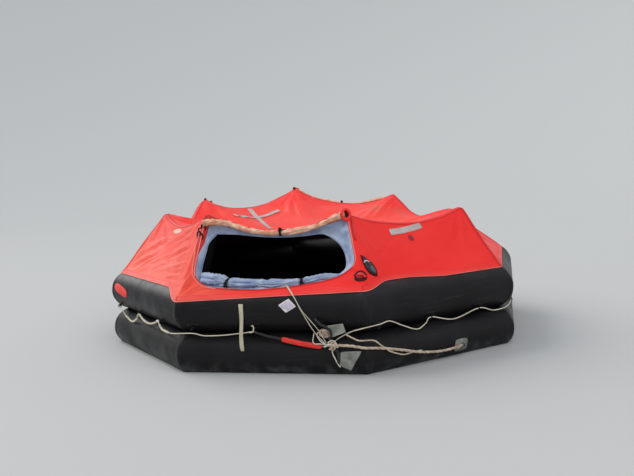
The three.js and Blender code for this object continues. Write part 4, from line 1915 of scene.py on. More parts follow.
@dataclass(frozen=True)
class NodeTool:
    """A geometry node tree with named inputs, run on a piece and turned into plain mesh.

    Attributes:
        name: The tree's name.
        inputs: The name, kind and value of each input.
        lay: Adds the nodes that make the shape.
    """

    name: str
    inputs: tuple[tuple[str, str, Any], ...]
    lay: Callable[[NodeBench, dict[str, Socket]], Socket]

    def tree(self) -> bpy.types.NodeTree:
        """Returns the node tree, made once.

        Returns:
            The tree.
        """
        made = bpy.data.node_groups.get(self.name)
        if made:
            return made
        made = bpy.data.node_groups.new(self.name, "GeometryNodeTree")
        made.interface.new_socket("Geometry", in_out="INPUT", socket_type="NodeSocketGeometry")
        for label, kind, value in self.inputs:
            socket = made.interface.new_socket(label, in_out="INPUT", socket_type=kind)
            if value is not None:
                socket.default_value = value
        made.interface.new_socket("Geometry", in_out="OUTPUT", socket_type="NodeSocketGeometry")
        bench = NodeBench(made)
        start = bench.add("NodeGroupInput")
        sockets = {socket.name: socket for socket in start.outputs if socket.name}
        shape = self.lay(bench, sockets)
        real = bench.add("GeometryNodeRealizeInstances", {0: shape}).outputs[0]
        smooth = bench.add("GeometryNodeSetShadeSmooth", {0: real}).outputs[0]
        dressed = bench.add("GeometryNodeSetMaterial", {0: smooth, "Material": sockets["Material"]})
        bench.add("NodeGroupOutput", {0: dressed.outputs[0]})
        return made

    def run(self, piece: Piece, finish: Finish, **values: Any) -> Piece:
        """Runs the tree on a piece.

        Args:
            piece: The object that carries the points or lines.
            finish: The finish of what is made.
            **values: Inputs by their names, with spaces as underscores.

        Returns:
            The same object with what was made as its mesh.
        """
        tree = self.tree()
        modifier = piece.modifiers.new(self.name, "NODES")
        modifier.node_group = tree
        wanted = {name.replace("_", " ").lower(): value for name, value in values.items()}
        wanted["material"] = finish.material()
        for item in tree.interface.items_tree:
            if item.in_out == "INPUT" and item.name.lower() in wanted:
                modifier[item.identifier] = wanted[item.name.lower()]
        return plain_mesh(piece)


def lay_stitches(bench: NodeBench, given: dict[str, Socket]) -> Socket:
    """Lays short threads end to end along lines.

    Args:
        bench: The tree being built.
        given: The tree's inputs.

    Returns:
        The stitches as instances.
    """
    curve = bench.add("GeometryNodeMeshToCurve", {0: given["Geometry"]}).outputs[0]
    sockets = {"Curve": curve, "Length": given["Pitch"]}
    points = bench.add("GeometryNodeResampleCurve", sockets, mode="LENGTH").outputs[0]
    tangent = bench.add("GeometryNodeInputTangent").outputs[0]
    turned = bench.add("FunctionNodeAlignRotationToVector", {"Vector": tangent}, axis="Z").outputs[0]
    sockets = {"Vertices": 5, "Side Segments": 2, "Radius": given["Thread"], "Depth": given["Stitch"]}
    thread = bench.add("GeometryNodeMeshCylinder", sockets, fill_type="TRIANGLE_FAN").outputs["Mesh"]
    sockets = {"Points": points, "Instance": thread, "Rotation": turned}
    return bench.add("GeometryNodeInstanceOnPoints", sockets).outputs[0]


def lay_rope(bench: NodeBench, given: dict[str, Socket]) -> Socket:
    """Sweeps a three-strand section along a line, turning as it goes.

    Args:
        bench: The tree being built.
        given: The tree's inputs.

    Returns:
        The rope.
    """
    curve = bench.add("GeometryNodeMeshToCurve", {0: given["Geometry"]}).outputs[0]
    sockets = {"Curve": curve, "Length": given["Step"]}
    even = bench.add("GeometryNodeResampleCurve", sockets, mode="LENGTH").outputs[0]
    along = bench.add("GeometryNodeSplineParameter").outputs["Length"]
    tilt = bench.times(along, given["Twist"])
    twisted = bench.add("GeometryNodeSetCurveTilt", {"Curve": even, "Tilt": tilt}).outputs[0]
    sockets = {"Resolution": 15, "Radius": given["Radius"]}
    circle = bench.add("GeometryNodeCurvePrimitiveCircle", sockets).outputs[0]
    place = bench.add("GeometryNodeInputPosition").outputs[0]
    split = bench.add("ShaderNodeSeparateXYZ", {0: place})
    sockets = {0: split.outputs[1], 1: split.outputs[0]}
    angle = bench.add("ShaderNodeMath", sockets, operation="ARCTAN2").outputs[0]
    lobes = bench.add("ShaderNodeMath", {0: bench.times(angle, 3.0)}, operation="COSINE").outputs[0]
    factor = bench.sum(bench.times(lobes, 0.15), 0.93)
    scaled = bench.add("ShaderNodeVectorMath", {0: place, "Scale": factor}, operation="SCALE").outputs[0]
    section = bench.add("GeometryNodeSetPosition", {"Geometry": circle, "Position": scaled}).outputs[0]
    sockets = {"Curve": twisted, "Profile Curve": section, "Fill Caps": True}
    return bench.add("GeometryNodeCurveToMesh", sockets).outputs[0]


def lay_copies(bench: NodeBench, given: dict[str, Socket]) -> Socket:
    """Puts a copy of an object on every point, turned about the upright by the point's own turn.

    Args:
        bench: The tree being built.
        given: The tree's inputs.

    Returns:
        The copies as instances.
    """
    copied = bench.add("GeometryNodeObjectInfo", {"Object": given["Copied"]}).outputs["Geometry"]
    turn = bench.add("GeometryNodeInputNamedAttribute", {"Name": "turn"}, data_type="FLOAT")
    rotation = bench.add("ShaderNodeCombineXYZ", {"Z": turn.outputs["Attribute"]}).outputs[0]
    sockets = {"Points": given["Geometry"], "Instance": copied, "Rotation": rotation}
    return bench.add("GeometryNodeInstanceOnPoints", sockets).outputs[0]


FLOAT = "NodeSocketFloat"
MATERIAL = ("Material", "NodeSocketMaterial", None)
STITCHES = NodeTool(
    "stitches",
    (("Pitch", FLOAT, 0.008), ("Stitch", FLOAT, 0.0055), ("Thread", FLOAT, 0.0007), MATERIAL),
    lay_stitches,
)
ROPE = NodeTool(
    "laid_rope",
    (("Radius", FLOAT, 0.006), ("Step", FLOAT, 0.006), ("Twist", FLOAT, 90.0), MATERIAL),
    lay_rope,
)
COPIES = NodeTool("copies", (("Copied", "NodeSocketObject", None), MATERIAL), lay_copies)


def wire(name: str, lines: Sequence[Sequence[Vector]], closed: bool = False) -> Piece:
    """Makes a piece of bare edges for a node tool to follow.

    Args:
        name: The piece's name.
        lines: The lines.
        closed: Whether each comes back to its start.

    Returns:
        The object.
    """
    places: list[Vector] = []
    edges = []
    for line in lines:
        first = len(places)
        places += list(line)
        edges += [(first + i, first + i + 1) for i in range(len(line) - 1)]
        if closed:
            edges.append((len(places) - 1, first))
    mesh = bpy.data.meshes.new(name)
    mesh.from_pydata([tuple(p) for p in places], edges, [])
    return linked(name, mesh)


def copies(name: str, form: Piece, spots: Sequence[tuple[Vector, float]], finish: Finish) -> Piece:
    """Puts copies of a piece on many places and removes the piece itself.

    Args:
        name: The name of the piece with all the copies.
        form: The piece that is copied.
        spots: The place of each copy and its turn about the upright.
        finish: Its finish.

    Returns:
        The copies as one piece.
    """
    mesh = bpy.data.meshes.new(name)
    mesh.from_pydata([tuple(place) for place, _ in spots], [], [])
    turns = mesh.attributes.new("turn", "FLOAT", "POINT")
    for item, (_, turn) in zip(turns.data, spots):
        item.value = turn
    made = COPIES.run(linked(name, mesh), finish, copied=form)
    bpy.data.objects.remove(form)
    return made


def sew(name: str, lines: Sequence[Sequence[Vector]], finish: Finish, slot: Slot, closed: bool = False,
        **sizes: float) -> Piece:
    """Sews lines of stitches and puts them on the raft."""
    return settle(STITCHES.run(wire(name, lines, closed), finish, **sizes), finish, slot)


def rope_along(name: str, line: Sequence[Vector], finish: Finish, radius: float, step: float, twist: float,
               *stands_for: str, closed: bool = False) -> None:
    """Lays a rope along a line and puts it on the raft.

    Args:
        name: The piece's name.
        line: The rope's middle line.
        finish: Its finish.
        radius: Its radius.
        step: How far apart its sections are.
        twist: How far its strands turn in each metre, in radians.
        *stands_for: The nodes of the model that it replaces.
        closed: Whether it comes back to its start.
    """
    made = ROPE.run(wire(name, [line], closed), finish, radius=radius, step=step, twist=twist)
    settle(made, finish, Slot.ROPE, *stands_for)


@dataclass
class CanopyTrim:
    """What is sewn on the canopy: bindings on its seams and ridges, the hem tape, tapes and patches.

    Attributes:
        surface: The canopy's outer face.
        binding: The width of the bindings.
        hem_tape: The width of the hem tape.
    """

    surface: BVHTree
    binding: float = 0.042
    hem_tape: float = 0.045

    def seam_lines(self) -> list[list[Vector]]:
        """Returns the lines that have a binding.

        Returns:
            The corner seams that no doorway's wall has a part in, and the ridges.
        """
        lines = []
        for corner in range(SIDES):
            if not (WALLS[corner].entrance or WALLS[(corner + 1) % SIDES].entrance):
                lines.append([FORM.wall(corner, 1.0, 0.02 + 0.965 * i / 44) for i in range(45)])
        for side in range(SIDES):
            lines.append([FORM.ridge(side, 0.012 + 0.976 * i / 60) for i in range(61)])
        return lines

    def offset(self, line: Sequence[Vector], shift: float, lift: float) -> list[Vector]:
        """Moves a line across the surface and lifts it off it.

        Args:
            line: The line.
            shift: How far it is moved to its right.
            lift: How far it is lifted.

        Returns:
            The moved line.
        """
        found = [across_at(line, i, self.surface) for i in range(len(line))]
        return [laid(self.surface, near + across * shift, lift) for near, across in found]

    def strip(self, name: str, line: Sequence[Vector], width: float, lift: float, finish: Finish,
              slot: Slot) -> None:
        """Lays one tape on the canopy."""
        settle(laid_strip(name, line, width, self.surface, lift), finish, slot)

    def disc(self, name: str, centre: Vector, shape: Outline, finish: Finish, slot: Slot, *stands_for: str,
             **sizes: float) -> None:
        """Lays one plate on the canopy."""
        settle(laid_disc(name, self.surface, centre, shape, **sizes), finish, slot, *stands_for)

    def bindings(self) -> None:
        """Makes the tapes over the seams and ridges, with two rows of stitches each."""
        strips, rows = [], []
        for i, line in enumerate(self.seam_lines()):
            strips.append(laid_strip(f"binding_{i}", line, self.binding, self.surface, 0.0012))
            rows += [self.offset(line, shift * 0.38 * self.binding, 0.0026) for shift in (-1, 1)]
        settle(joined("canopy_bindings", strips), BINDING_RED, Slot.CANOPY)
        sew("binding_stitches", rows, THREAD_RED, Slot.CANOPY)

    def hem(self) -> None:
        """Makes the hem tape on each wall and its stitches."""
        strips, rows = [], []
        for side in range(SIDES):
            line = [FORM.wall(side, 0.004 + 0.992 * i / 70, 0.035) for i in range(71)]
            strips.append(laid_strip(f"hem_{side}", line, self.hem_tape, self.surface, 0.001))
            rows += [self.offset(line, shift, 0.0024) for shift in (-0.016, 0.016)]
        settle(joined("canopy_hem_tape", strips), HEM_RED, Slot.CANOPY)
        # A pale pink cord along the hem: its pale colour is a painted highlight on the hem's edge
        spots = [(side, i / 72) for side in range(SIDES) for i in range(72)]
        around = [FORM.hem(side, u) + FORM.inward(side, u) * 0.001 for side, u in spots]
        settle(tube_piece("canopy_hem_cord", around, 0.0036, 8, closed=True), CORD_PINK, Slot.CANOPY)
        sew("hem_stitches", rows, THREAD_RED, Slot.CANOPY)

    def doorway_edges(self) -> None:
        """Makes the rolled edges round the doorways and their stitches."""
        rows = []
        for side in (0, SIDES // 2):
            rim = outline_points(DOORWAY_LINE, (40, 24, 40, 24))
            line = [laid(self.surface, FORM.wall(side, *across_up(place)), -0.001) for place in rim]
            edge = tube_piece(f"doorway_edge_{WALLS[side].name}", line, 0.0055, 8, closed=True)
            settle(edge, EDGE_RED, Slot.CANOPY)
            outer = [(x * 1.008, 0.32 + (y - 0.32) * 1.035) for x, y in rim]
            rows.append([laid(self.surface, FORM.wall(side, *across_up(place)), 0.001) for place in outer])
        sew("doorway_stitches", rows, THREAD_RED, Slot.CANOPY, closed=True)

    def roof_cross(self) -> None:
        """Makes the crossed reflective tapes on the roof."""
        arms = (((-0.483, 0.178), (-0.87, 0.79)), ((-0.87, 0.32), (-0.571, 0.822)))
        for i, (start, end) in enumerate(arms):
            spots = [[s + (e - s) * k / 60 for s, e in zip(start, end)] for k in range(61)]
            line = [dropped(self.surface, *spot) for spot in spots]
            lift = 0.0035 + TAPE_THICKNESS * i
            self.strip(f"roof_tape_{i + 1}", line, 0.05, lift, TAPE_SILVER, Slot.TAG)

    def wall_tapes(self) -> None:
        """Makes the short reflective tapes near the ridges."""
        ends = (
            (1, (0.318, 0.812), (0.6, 0.918)), (5, (0.38, 0.89), (0.62, 0.89)),
            (3, (0.38, 0.88), (0.62, 0.88)),
        )
        for i, (side, start, end) in enumerate(ends):
            spots = [[a + (b - a) * k / 20 for a, b in zip(start, end)] for k in range(21)]
            line = [FORM.wall(side, *spot) for spot in spots]
            self.strip(f"wall_tape_{i + 1}", line, 0.05, 0.0018, TAPE_SILVER, Slot.TAG)
        spot, dimple_shade = FORM.wall(7, 0.4, 0.885), FORM.wall(1, 0.473, 0.713)
        self.disc("wall_spot", spot, Oval(0.1, 0.022), SPOT_CREAM, Slot.TAG, lift=0.002, turn=0.1)
        # A small dark red disc on the right wall: painted shade of a small pucker
        self.disc("wall_dimple", dimple_shade, Oval(0.02, 0.027), DEEP_RED, Slot.CANOPY,
                  lift=0.0015, dome=-0.001, turn=0.5)

    def window_and_port(self) -> None:
        """Makes the small oval window and the round port by the front entrance."""
        centre = FORM.wall(1, 0.068, 0.296)
        lean = 0.26
        self.disc("window_rim", centre, Leaf(0.048, 0.096), RIM_DARK, Slot.WINDOW, "oval_window",
                  lift=0.003, dome=0.004, turn=lean, thickness=0.004)
        self.disc("window_pane", centre, Leaf(0.036, 0.08), WINDOW_DARK, Slot.WINDOW,
                  lift=0.0065, dome=0.006, turn=lean)
        near, level, up, _ = local_axes(self.surface, centre)
        low = near + level * 0.01 - up * 0.035
        self.disc("window_pane_low", low, Oval(0.02, 0.032), PANE_GREY, Slot.WINDOW,
                  lift=0.0125, dome=0.002, turn=lean, thickness=0.001)
        # A pale arc over the pane's upper part: a painted highlight on the window
        arc = [near + level * (-0.016 + 0.03 * math.cos(a)) + up * (0.016 + 0.022 * math.sin(a))
               for a in np.linspace(0.3, 2.6, 16)]
        self.strip("window_lip", arc, 0.009, 0.0125, TAG_LILAC, Slot.TAG)
        port = FORM.wall(1, 0.0, 0.188)
        self.disc("port_rim", port, Oval(0.052, 0.04), RIM_DARK, Slot.WINDOW, "round_port",
                  lift=0.004, thickness=0.006)
        beside = port + Vector((-0.003, 0.0, 0.003))
        self.disc("port_sleeve", beside, Oval(0.029, 0.021), EDGE_RED, Slot.CANOPY,
                  lift=0.0075, dome=0.01, turn=0.4, thickness=0.003)
        near, level, up, _ = local_axes(self.surface, port)
        shares = np.linspace(0, 1, 11)
        fold = [near + level * (0.002 + 0.026 * t) + up * (0.012 - 0.03 * t) for t in shares]
        self.strip("port_flap", fold, 0.016, 0.0165, HEM_RED, Slot.CANOPY)
        # A dark strip in the sleeve's mouth: painted shade in its opening
        mouth_shade = [near + level * (-0.024 + 0.03 * t) + up * (0.004 - 0.014 * t) for t in shares]
        self.strip("port_mouth", mouth_shade, 0.011, 0.0175, RIM_DARK, Slot.WINDOW)

    def knee_loops(self) -> None:
        """Makes the small black loops on two of the knees."""
        ring = [Vector((0.011 * math.cos(a), 0.0, 0.008 * math.sin(a) + 0.005)) for a in angles_round(16)]
        loop = tube_piece("knee_loop_form", ring, 0.006, 8, closed=True)
        spots = []
        for tip, turn in ((FORM.knee(4), 4.5), (FORM.knee(5), 5.5), (FORM.ridge(5, 0.94), 5.2)):
            spots.append((laid(self.surface, tip, 0.003), turn * STEP))
        made = copies("knee_loops", loop, spots, TIE_BLACK)
        set_flat_uv(made)
        settle(made, TIE_BLACK, Slot.WEBBING)

    def dress(self) -> None:
        """Makes all of the trim."""
        self.bindings()
        self.hem()
        self.doorway_edges()
        self.roof_cross()
        self.wall_tapes()
        self.window_and_port()
        self.knee_loops()


# Doorways

# The line of the outer flap's roll on the wall, as u and v, and its radius at each of those places
OUTER_ROLL_LINE = (
    (0.018, 0.87), (0.051, 0.897), (0.107, 0.936), (0.167, 0.962), (0.255, 0.948), (0.325, 0.935),
    (0.393, 0.929), (0.461, 0.925), (0.522, 0.927), (0.647, 0.939), (0.766, 0.955), (0.851, 0.975),
    (0.921, 0.99), (0.972, 0.974),
)
OUTER_ROLL_RADII = (
    0.031, 0.034, 0.031, 0.026, 0.0266, 0.025, 0.0236, 0.0236, 0.0236, 0.031, 0.022, 0.0245, 0.035, 0.04,
)
# The height of the inner flap's middle line over the tube's top, at even steps along the sill
SILL_RISES = (0.06, 0.042, 0.02, 0.019, 0.017, 0.019, 0.034, 0.06, 0.062)
# The pipings beside a doorway, two on its left and one on its right, in metres across and up the wall
PIPINGS = (
    (
        (-0.612, 0.52), (-0.608, 0.445), (-0.58, 0.32), (-0.564, 0.235), (-0.541, 0.182), (-0.46, 0.113),
        (-0.36, 0.086),
    ),
    ((-0.584, 0.53), (-0.576, 0.454), (-0.56, 0.312), (-0.549, 0.235), (-0.53, 0.182)),
    ((0.588, 0.57), (0.59, 0.373), (0.587, 0.25), (0.558, 0.192)),
)
# The toggles on a doorway's left, as u, v and half their length
TOGGLES = ((-0.03, 0.82, 0.026), (-0.006, 0.86, 0.03), (-0.006, 0.78, 0.034), (0.012, 0.76, 0.024))


@dataclass(frozen=True)
class RollForm:
    """How a flap is rolled up.

    Attributes:
        radii: The roll's radius at even steps along it.
        turns: How many times it is wound.
        start: The angle at which its loose edge lies.
        ties: Where ties draw it in, as shares of its length.
        pinch: How much of the radius a tie takes away.
        squash: Its height over its width.
        wrinkles: The wrinkles' depth as a share of the radius.
        along: How many wrinkles there are along it.
        drift: How far they move along it for each radian of winding.
        fold: The depth of the long fold that faces outward, as a share of the radius.
    """

    radii: tuple[float, ...]
    turns: float
    start: float
    ties: tuple[float, ...]
    pinch: float
    squash: float
    wrinkles: float
    along: float
    drift: float = 0.0
    fold: float = 0.0


# The outer roll's tie is at this one of the 131 places along it
OUTER_TIE = 81
OUTER_ROLL = RollForm(
    OUTER_ROLL_RADII, turns=2.4, start=-1.9, ties=(OUTER_TIE / 130,), pinch=0.2, squash=0.9, wrinkles=0.4,
    along=16, drift=0.5,
)
INNER_ROLL = RollForm(
    (0.06, 0.068, 0.05, 0.045, 0.042, 0.036, 0.035, 0.031, 0.02), turns=1.9, start=-2.6, ties=(0.197, 0.718),
    pinch=0.42, squash=0.84, wrinkles=0.5, along=5, fold=0.34,
)


def knob_form(share: float, _: float) -> float:
    """Returns how full the toggles' knob is at a share of its length."""
    return 0.6 + 0.4 * math.sin(math.pi * share)


def crumpled(share: float, _: float) -> float:
    """Returns how full the red cloth round the outer roll's end is at a share of its way round."""
    return 1 + 0.16 * math.sin(share * 16 + 1) + 0.08 * math.sin(share * 41)


@dataclass
class Doorway:
    """What belongs to one entrance: the lining, the rolled outer flap, the tied inner flap and the ties.

    Attributes:
        side: Its side.
        name: The ending of its pieces' names.
        seed: The seed of what is uneven.
        columns: How many faces the doorway's edge has along its bottom and along its top.
        rows: How many it has up each side.
    """

    side: int
    name: str
    seed: int
    columns: int = 40
    rows: int = 24

    def off_tube(self, place: Vector, gap: float) -> Vector:
        """Pushes a place out of the upper tube.

        Args:
            place: The place.
            gap: How far off the tube it has to be.

        Returns:
            The same place if it is far enough, or the nearest one that is.
        """
        apothem = place.dot(outward(self.side))
        out, rise = apothem - RING_APOTHEM, place.z - UPPER_TUBE_Z
        distance = math.hypot(out, rise)
        if distance >= TUBE_RADIUS + gap:
            return place
        factor = (TUBE_RADIUS + gap) / distance - 1
        return place + outward(self.side) * out * factor + Vector((0, 0, rise * factor))

    @staticmethod
    def set_back(x: float, y: float) -> float:
        """Returns how far the lining is set back behind the edge, which is most at the upper left."""
        return smooth_step((-x - 0.3) / 0.1) * smooth_step((y - 0.32) / 0.14)

    def returned_edge(self, counts: Sequence[int]) -> None:
        """Makes the red strip that turns in behind the doorway's edge.

        Args:
            counts: How many faces it has along the bottom, the right, the top and the left.
        """
        rim = outline_points(DOORWAY_LINE, counts)
        places = []
        for share in (0.0, 0.3, 0.65, 1.0):
            for x, y in rim:
                back = self.set_back(x, y)
                inset = 1.004 - share * (0.005 + 0.016 * back)
                depth = 0.004 + share * (0.006 + 0.026 * back)
                place = FORM.wall(self.side, *across_up((x * inset, 0.32 + (y - 0.32) * inset)), depth)
                places.append(self.off_tube(place, 0.0008))
        piece = mesh_piece(f"doorway_return_{self.name}", places, grid_faces(len(rim), 4, closed=True))
        settle(thickened(piece, 0.0014), EDGE_RED, Slot.CANOPY)

    def lining(self) -> None:
        """Makes the blue cloth round the doorway, hanging in soft folds."""
        counts = (self.columns, self.rows, self.columns, self.rows)
        self.returned_edge(counts)
        outer, starts, places = [], [], []
        for x, y in outline_points(DOORWAY_LINE, counts):
            back = self.set_back(x, y)
            factor = 0.997 - 0.013 * back
            outer.append((x * factor, 0.32 + (y - 0.32) * factor))
            starts.append(0.007 + 0.027 * back)
        inner = outline_points(LINING_LINE, counts)
        steps = 12
        for share in (step / steps for step in range(steps + 1)):
            for k, (a, b, start) in enumerate(zip(outer, inner, starts)):
                x, y = a[0] + (b[0] - a[0]) * share, a[1] + (b[1] - a[1]) * share
                wave = noise.noise(Vector((k * 0.2, share * 1.6, self.seed))) * 0.02
                ripple = math.sin(k * 1.15 + 3 * share + self.seed) * 0.004
                crease = 0.006 * (1 - abs(noise.noise(Vector((x * 11, y * 11 + x * 5, self.seed)))) * 5)
                slack = wave + ripple + max(crease, -0.004)
                slack *= math.sin(math.pi * min(share * 1.1, 1.0)) ** 0.8
                deepest = 0.2 if abs(x) < 0.44 else 0.056
                deep = min(start + (LINING_DEPTH - start) * smooth_step(share) + slack, deepest)
                place = FORM.wall(self.side, *across_up((x, y)), deep)
                places.append(self.off_tube(place, 0.0018 + 0.002 * share))
        faces = grid_faces(len(outer), steps + 1, closed=True)
        piece = mesh_piece(f"door_lining_{self.name}_cloth", places, faces)
        length = length_of([FORM.wall(self.side, *across_up(place)) for place in outer + outer[:1]])
        with_modifier(piece, "SUBSURF", levels=1, render_levels=1)
        settle(thickened(piece, 0.002), LINING_BLUE, Slot.LINING, f"door_lining_{self.name}")
        hem = [self.off_tube(FORM.wall(self.side, *across_up(place), LINING_DEPTH), 0.006) for place in inner]
        edge = tube_piece(f"lining_edge_{self.name}", hem, 0.0035, 7, closed=True)
        settle(edge, LINING_BLUE, Slot.LINING)

    def roll(self, name: str, line: Sequence[Vector], form: RollForm, finishes: tuple[Finish, Finish],
             node: str) -> None:
        """Makes a rolled-up flap as one long sheet wound on itself.

        Args:
            name: The piece's name.
            line: The roll's middle line.
            form: How it is rolled up.
            finishes: Those of its outer and its inner face.
            node: The node of the model that it replaces.
        """
        columns = 72
        places = []
        chance = Vector((self.seed * 3.1, self.seed, 0.0))
        for i, (_, across, up) in enumerate(frames_along(line)):
            share = i / (len(line) - 1)
            radius = eased(form.radii, share)
            draw = sum(math.exp(-((share - tie) / 0.018) ** 2) for tie in form.ties)
            near = sum(math.exp(-abs(share - tie) / 0.08) for tie in form.ties)
            facing = math.pi if across.dot(outward(self.side)) > 0 else 0.0
            for k in range(columns):
                wound = k / (columns - 1)
                angle = form.start - 2 * math.pi * form.turns * (1 - wound)
                reach = radius * (0.34 + 0.66 * wound ** 0.8)
                slow = Vector((share * 7.0, math.cos(angle) * 1.1, math.sin(angle) * 1.1))
                uneven = 0.12 * noise.noise(slow + chance)
                around = angle + share * 5
                along = share * form.along + angle * form.drift
                fine = Vector((along, math.cos(around) * 2.4, math.sin(around) * 2.4))
                creases = form.wrinkles * (0.35 - min(abs(noise.noise(fine + chance)) * 3.0, 1.0))
                gather = near * 0.2 * math.cos(6 * angle + self.seed + share * 24)
                turned = (angle - facing) % (2 * math.pi) - math.pi
                fold = form.fold * math.exp(-((turned + 0.35 * math.sin(share * 9) + 0.1) / 0.2) ** 2)
                reach *= (1 + uneven + creases + gather - fold) * (1 - form.pinch * min(draw, 1.0))
                level, rise = across * math.cos(angle) * reach, up * math.sin(angle) * reach * form.squash
                places.append(line[i] + level + rise)
        piece = mesh_piece(name, places, grid_faces(columns, len(line)))
        for finish in finishes:
            piece.data.materials.append(finish.material())
        second_face = {"material_offset": 1, "material_offset_rim": 1}
        with_modifier(piece, "SOLIDIFY", thickness=0.0016, offset=0.0, **second_face)
        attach(piece, "root")
        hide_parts(node)
        LOG.info("%s: %d faces", name, len(piece.data.polygons))

    def tie(self, name: str, line: Sequence[Vector], at: int, radius: float, width: float, tail: float,
            high: float = 0.0) -> None:
        """Makes one black tie round a roll, with its knot and its two loose tails.

        Args:
            name: The piece's name.
            line: The roll's middle line.
            at: The number of the place where it is tied.
            radius: The band's radius.
            width: The band's width.
            tail: The tails' length.
            high: The knot's angle above the level.
        """
        centre = line[at]
        along = (line[at + 1] - line[at - 1]).normalized()
        across = along.cross(Vector((0, 0, 1))).normalized()
        up = across.cross(along)
        places = []
        rounds = 28
        for row in range(3):
            for k in range(rounds):
                angle = 2 * math.pi * k / rounds
                out = across * math.cos(angle) + up * math.sin(angle)
                bulge = 0.0006 if row == 1 else 0.0
                places.append(centre + out * (radius + bulge) + along * width * (row / 2 - 0.5))
        band = mesh_piece(f"{name}_band", places, grid_faces(rounds, 3, closed=True))
        thickened(band, 0.0025)
        level = across if across.dot(outward(self.side)) > 0 else -across
        front = centre + (level * math.cos(high) + Vector((0, 0, math.sin(high)))) * (radius + 0.006)
        knot = [front + along * 0.008 * math.sin(a) + up * 0.01 * math.cos(a) for a in angles_round(8)]
        parts = [band, tube_piece(f"{name}_knot", knot, 0.006, 7, closed=True)]
        for sign in (-1, 1):
            down = [front + along * sign * 0.012 * t + Vector((0, 0, -tail)) * t
                    + outward(self.side) * 0.004 * math.sin(3 * t) for t in (0.0, 0.3, 0.6, 1.0)]
            parts.append(tube_piece(f"{name}_tail{sign}", spline_through(down, 4), 0.0042, 6))
        made = joined(name, parts)
        outward_normals(made)
        set_flat_uv(made)
        settle(made, TIE_BLACK, Slot.WEBBING)

    def outer_flap(self) -> None:
        """Makes the outer flap, beige inside and red outside, rolled up along the top of the doorway; its red
        face is painted dark as the shade under the roll.
        """
        drop = 0.045 if self.side else 0.0
        spots = [(u, v - drop * smooth_step((u - 0.7) / 0.25)) for u, v in OUTER_ROLL_LINE]
        line = spline_through([FORM.wall(self.side, u, v, -0.03) for u, v in spots], 10)
        self.roll(f"outer_flap_{self.name}", line, OUTER_ROLL, (FLAP_BEIGE, FLAP_BACK_SHADE),
                  f"outer_flap_roll_{self.name}")
        self.tie(f"outer_tie_{self.name}", line, OUTER_TIE, 0.023, 0.016, 0.012, 1.1)
        axis = ((line[-1] - line[-6]).normalized() + outward(self.side) * 0.8).normalized()
        across = axis.cross(Vector((0, 0, 1))).normalized()
        up = across.cross(axis)
        middle = line[-1] + axis * 0.004
        ring = [middle + across * 0.036 * math.cos(a) + up * 0.037 * math.sin(a) for a in angles_round(32)]
        end = tube_piece(f"outer_flap_end_{self.name}", ring, 0.0115, 10, closed=True, swell=crumpled)
        settle(end, HEM_RED, Slot.CANOPY)
        # A dark plug in the roll's open end: painted shade in its hollow
        short = [middle - axis * 0.02, middle - axis * 0.004]
        hollow_shade = tube_piece(f"outer_flap_mouth_{self.name}", short, 0.031, 20)
        settle(hollow_shade, RIM_DARK, Slot.WEBBING)

    def inner_flap(self) -> None:
        """Makes the blue inner flap, folded down on the sill and tied in two places."""
        count = 128
        line = []
        for share in (i / count for i in range(count + 1)):
            lift = eased(SILL_RISES, share)
            lift -= 0.006 * sum(math.exp(-((share - tie) / 0.03) ** 2) for tie in INNER_ROLL.ties)
            raised = max(lift - 0.02, 0.0)
            out, z = RING_APOTHEM + 0.05 - 0.8 * raised, UPPER_TUBE_Z + TUBE_RADIUS + lift - 0.1 * raised
            line.append(on_side(self.side, -0.53 + 1.045 * share, out, z))
        self.roll(f"inner_flap_{self.name}", line, INNER_ROLL, (LINING_BLUE, LINING_BLUE),
                  f"inner_flap_roll_{self.name}")
        for i, (share, radius) in enumerate(zip(INNER_ROLL.ties, (0.032, 0.024))):
            self.tie(f"sill_tie_{self.name}_{i + 1}", line, round(share * count), radius, 0.02, 0.03)

    def side_tie(self, tree: BVHTree) -> None:
        """Makes the strap that hangs by the doorway's right edge and the toggles on its left.

        Args:
            tree: The canopy's outer face.
        """
        shares = np.linspace(0, 1, 30)
        spots = [(1.028 - 0.012 * t + 0.004 * math.sin(7 * t), 0.97 - 0.33 * t) for t in shares]
        line = [FORM.wall(self.side, u, v) for u, v in spots]
        settle(laid_strip(f"side_tie_{self.name}_edge", line, 0.022, tree, 0.002), DEEP_RED, Slot.WEBBING)
        settle(laid_strip(f"side_tie_{self.name}", line, 0.013, tree, 0.0042), BINDING_RED, Slot.CANOPY)
        loops = []
        out, along = outward(self.side), outward(self.side + 2)
        for u, v, size in TOGGLES:
            place = laid(tree, FORM.wall(self.side, u, v), 0.012)
            loop = [place + out * 0.006 * math.cos(2 * a) + along * size * 0.5 * math.sin(a)
                    + Vector((0, 0, size * math.cos(a) - size)) for a in angles_round(16)]
            loops.append(tube_piece(f"toggle_{v}", loop, 0.0055, 7, closed=True))
        made = joined(f"toggles_{self.name}", loops)
        set_flat_uv(made)
        settle(made, TIE_BLACK, Slot.WEBBING)
        place = laid(tree, FORM.wall(self.side, -0.03, 0.77), 0.012)
        line = [place + Vector((0, 0, z)) for z in (-0.012, -0.006, 0.006, 0.012)]
        knob = tube_piece(f"toggle_knob_{self.name}", line, 0.009, 12, swell=knob_form)
        settle(knob, CORD_PINK, Slot.CANOPY)

    def pipings(self, tree: BVHTree) -> None:
        """Makes the pale pink pipings beside the doorway, their pale colour a painted highlight along its
        edges, and the dark red gusset between the two on its left.

        Args:
            tree: The canopy's outer face.
        """
        lines = []
        for number, run in enumerate(PIPINGS):
            line = spline_through([FORM.wall(self.side, *across_up(place)) for place in run], 8)
            lines.append([laid(tree, place, 0.002) for place in line])
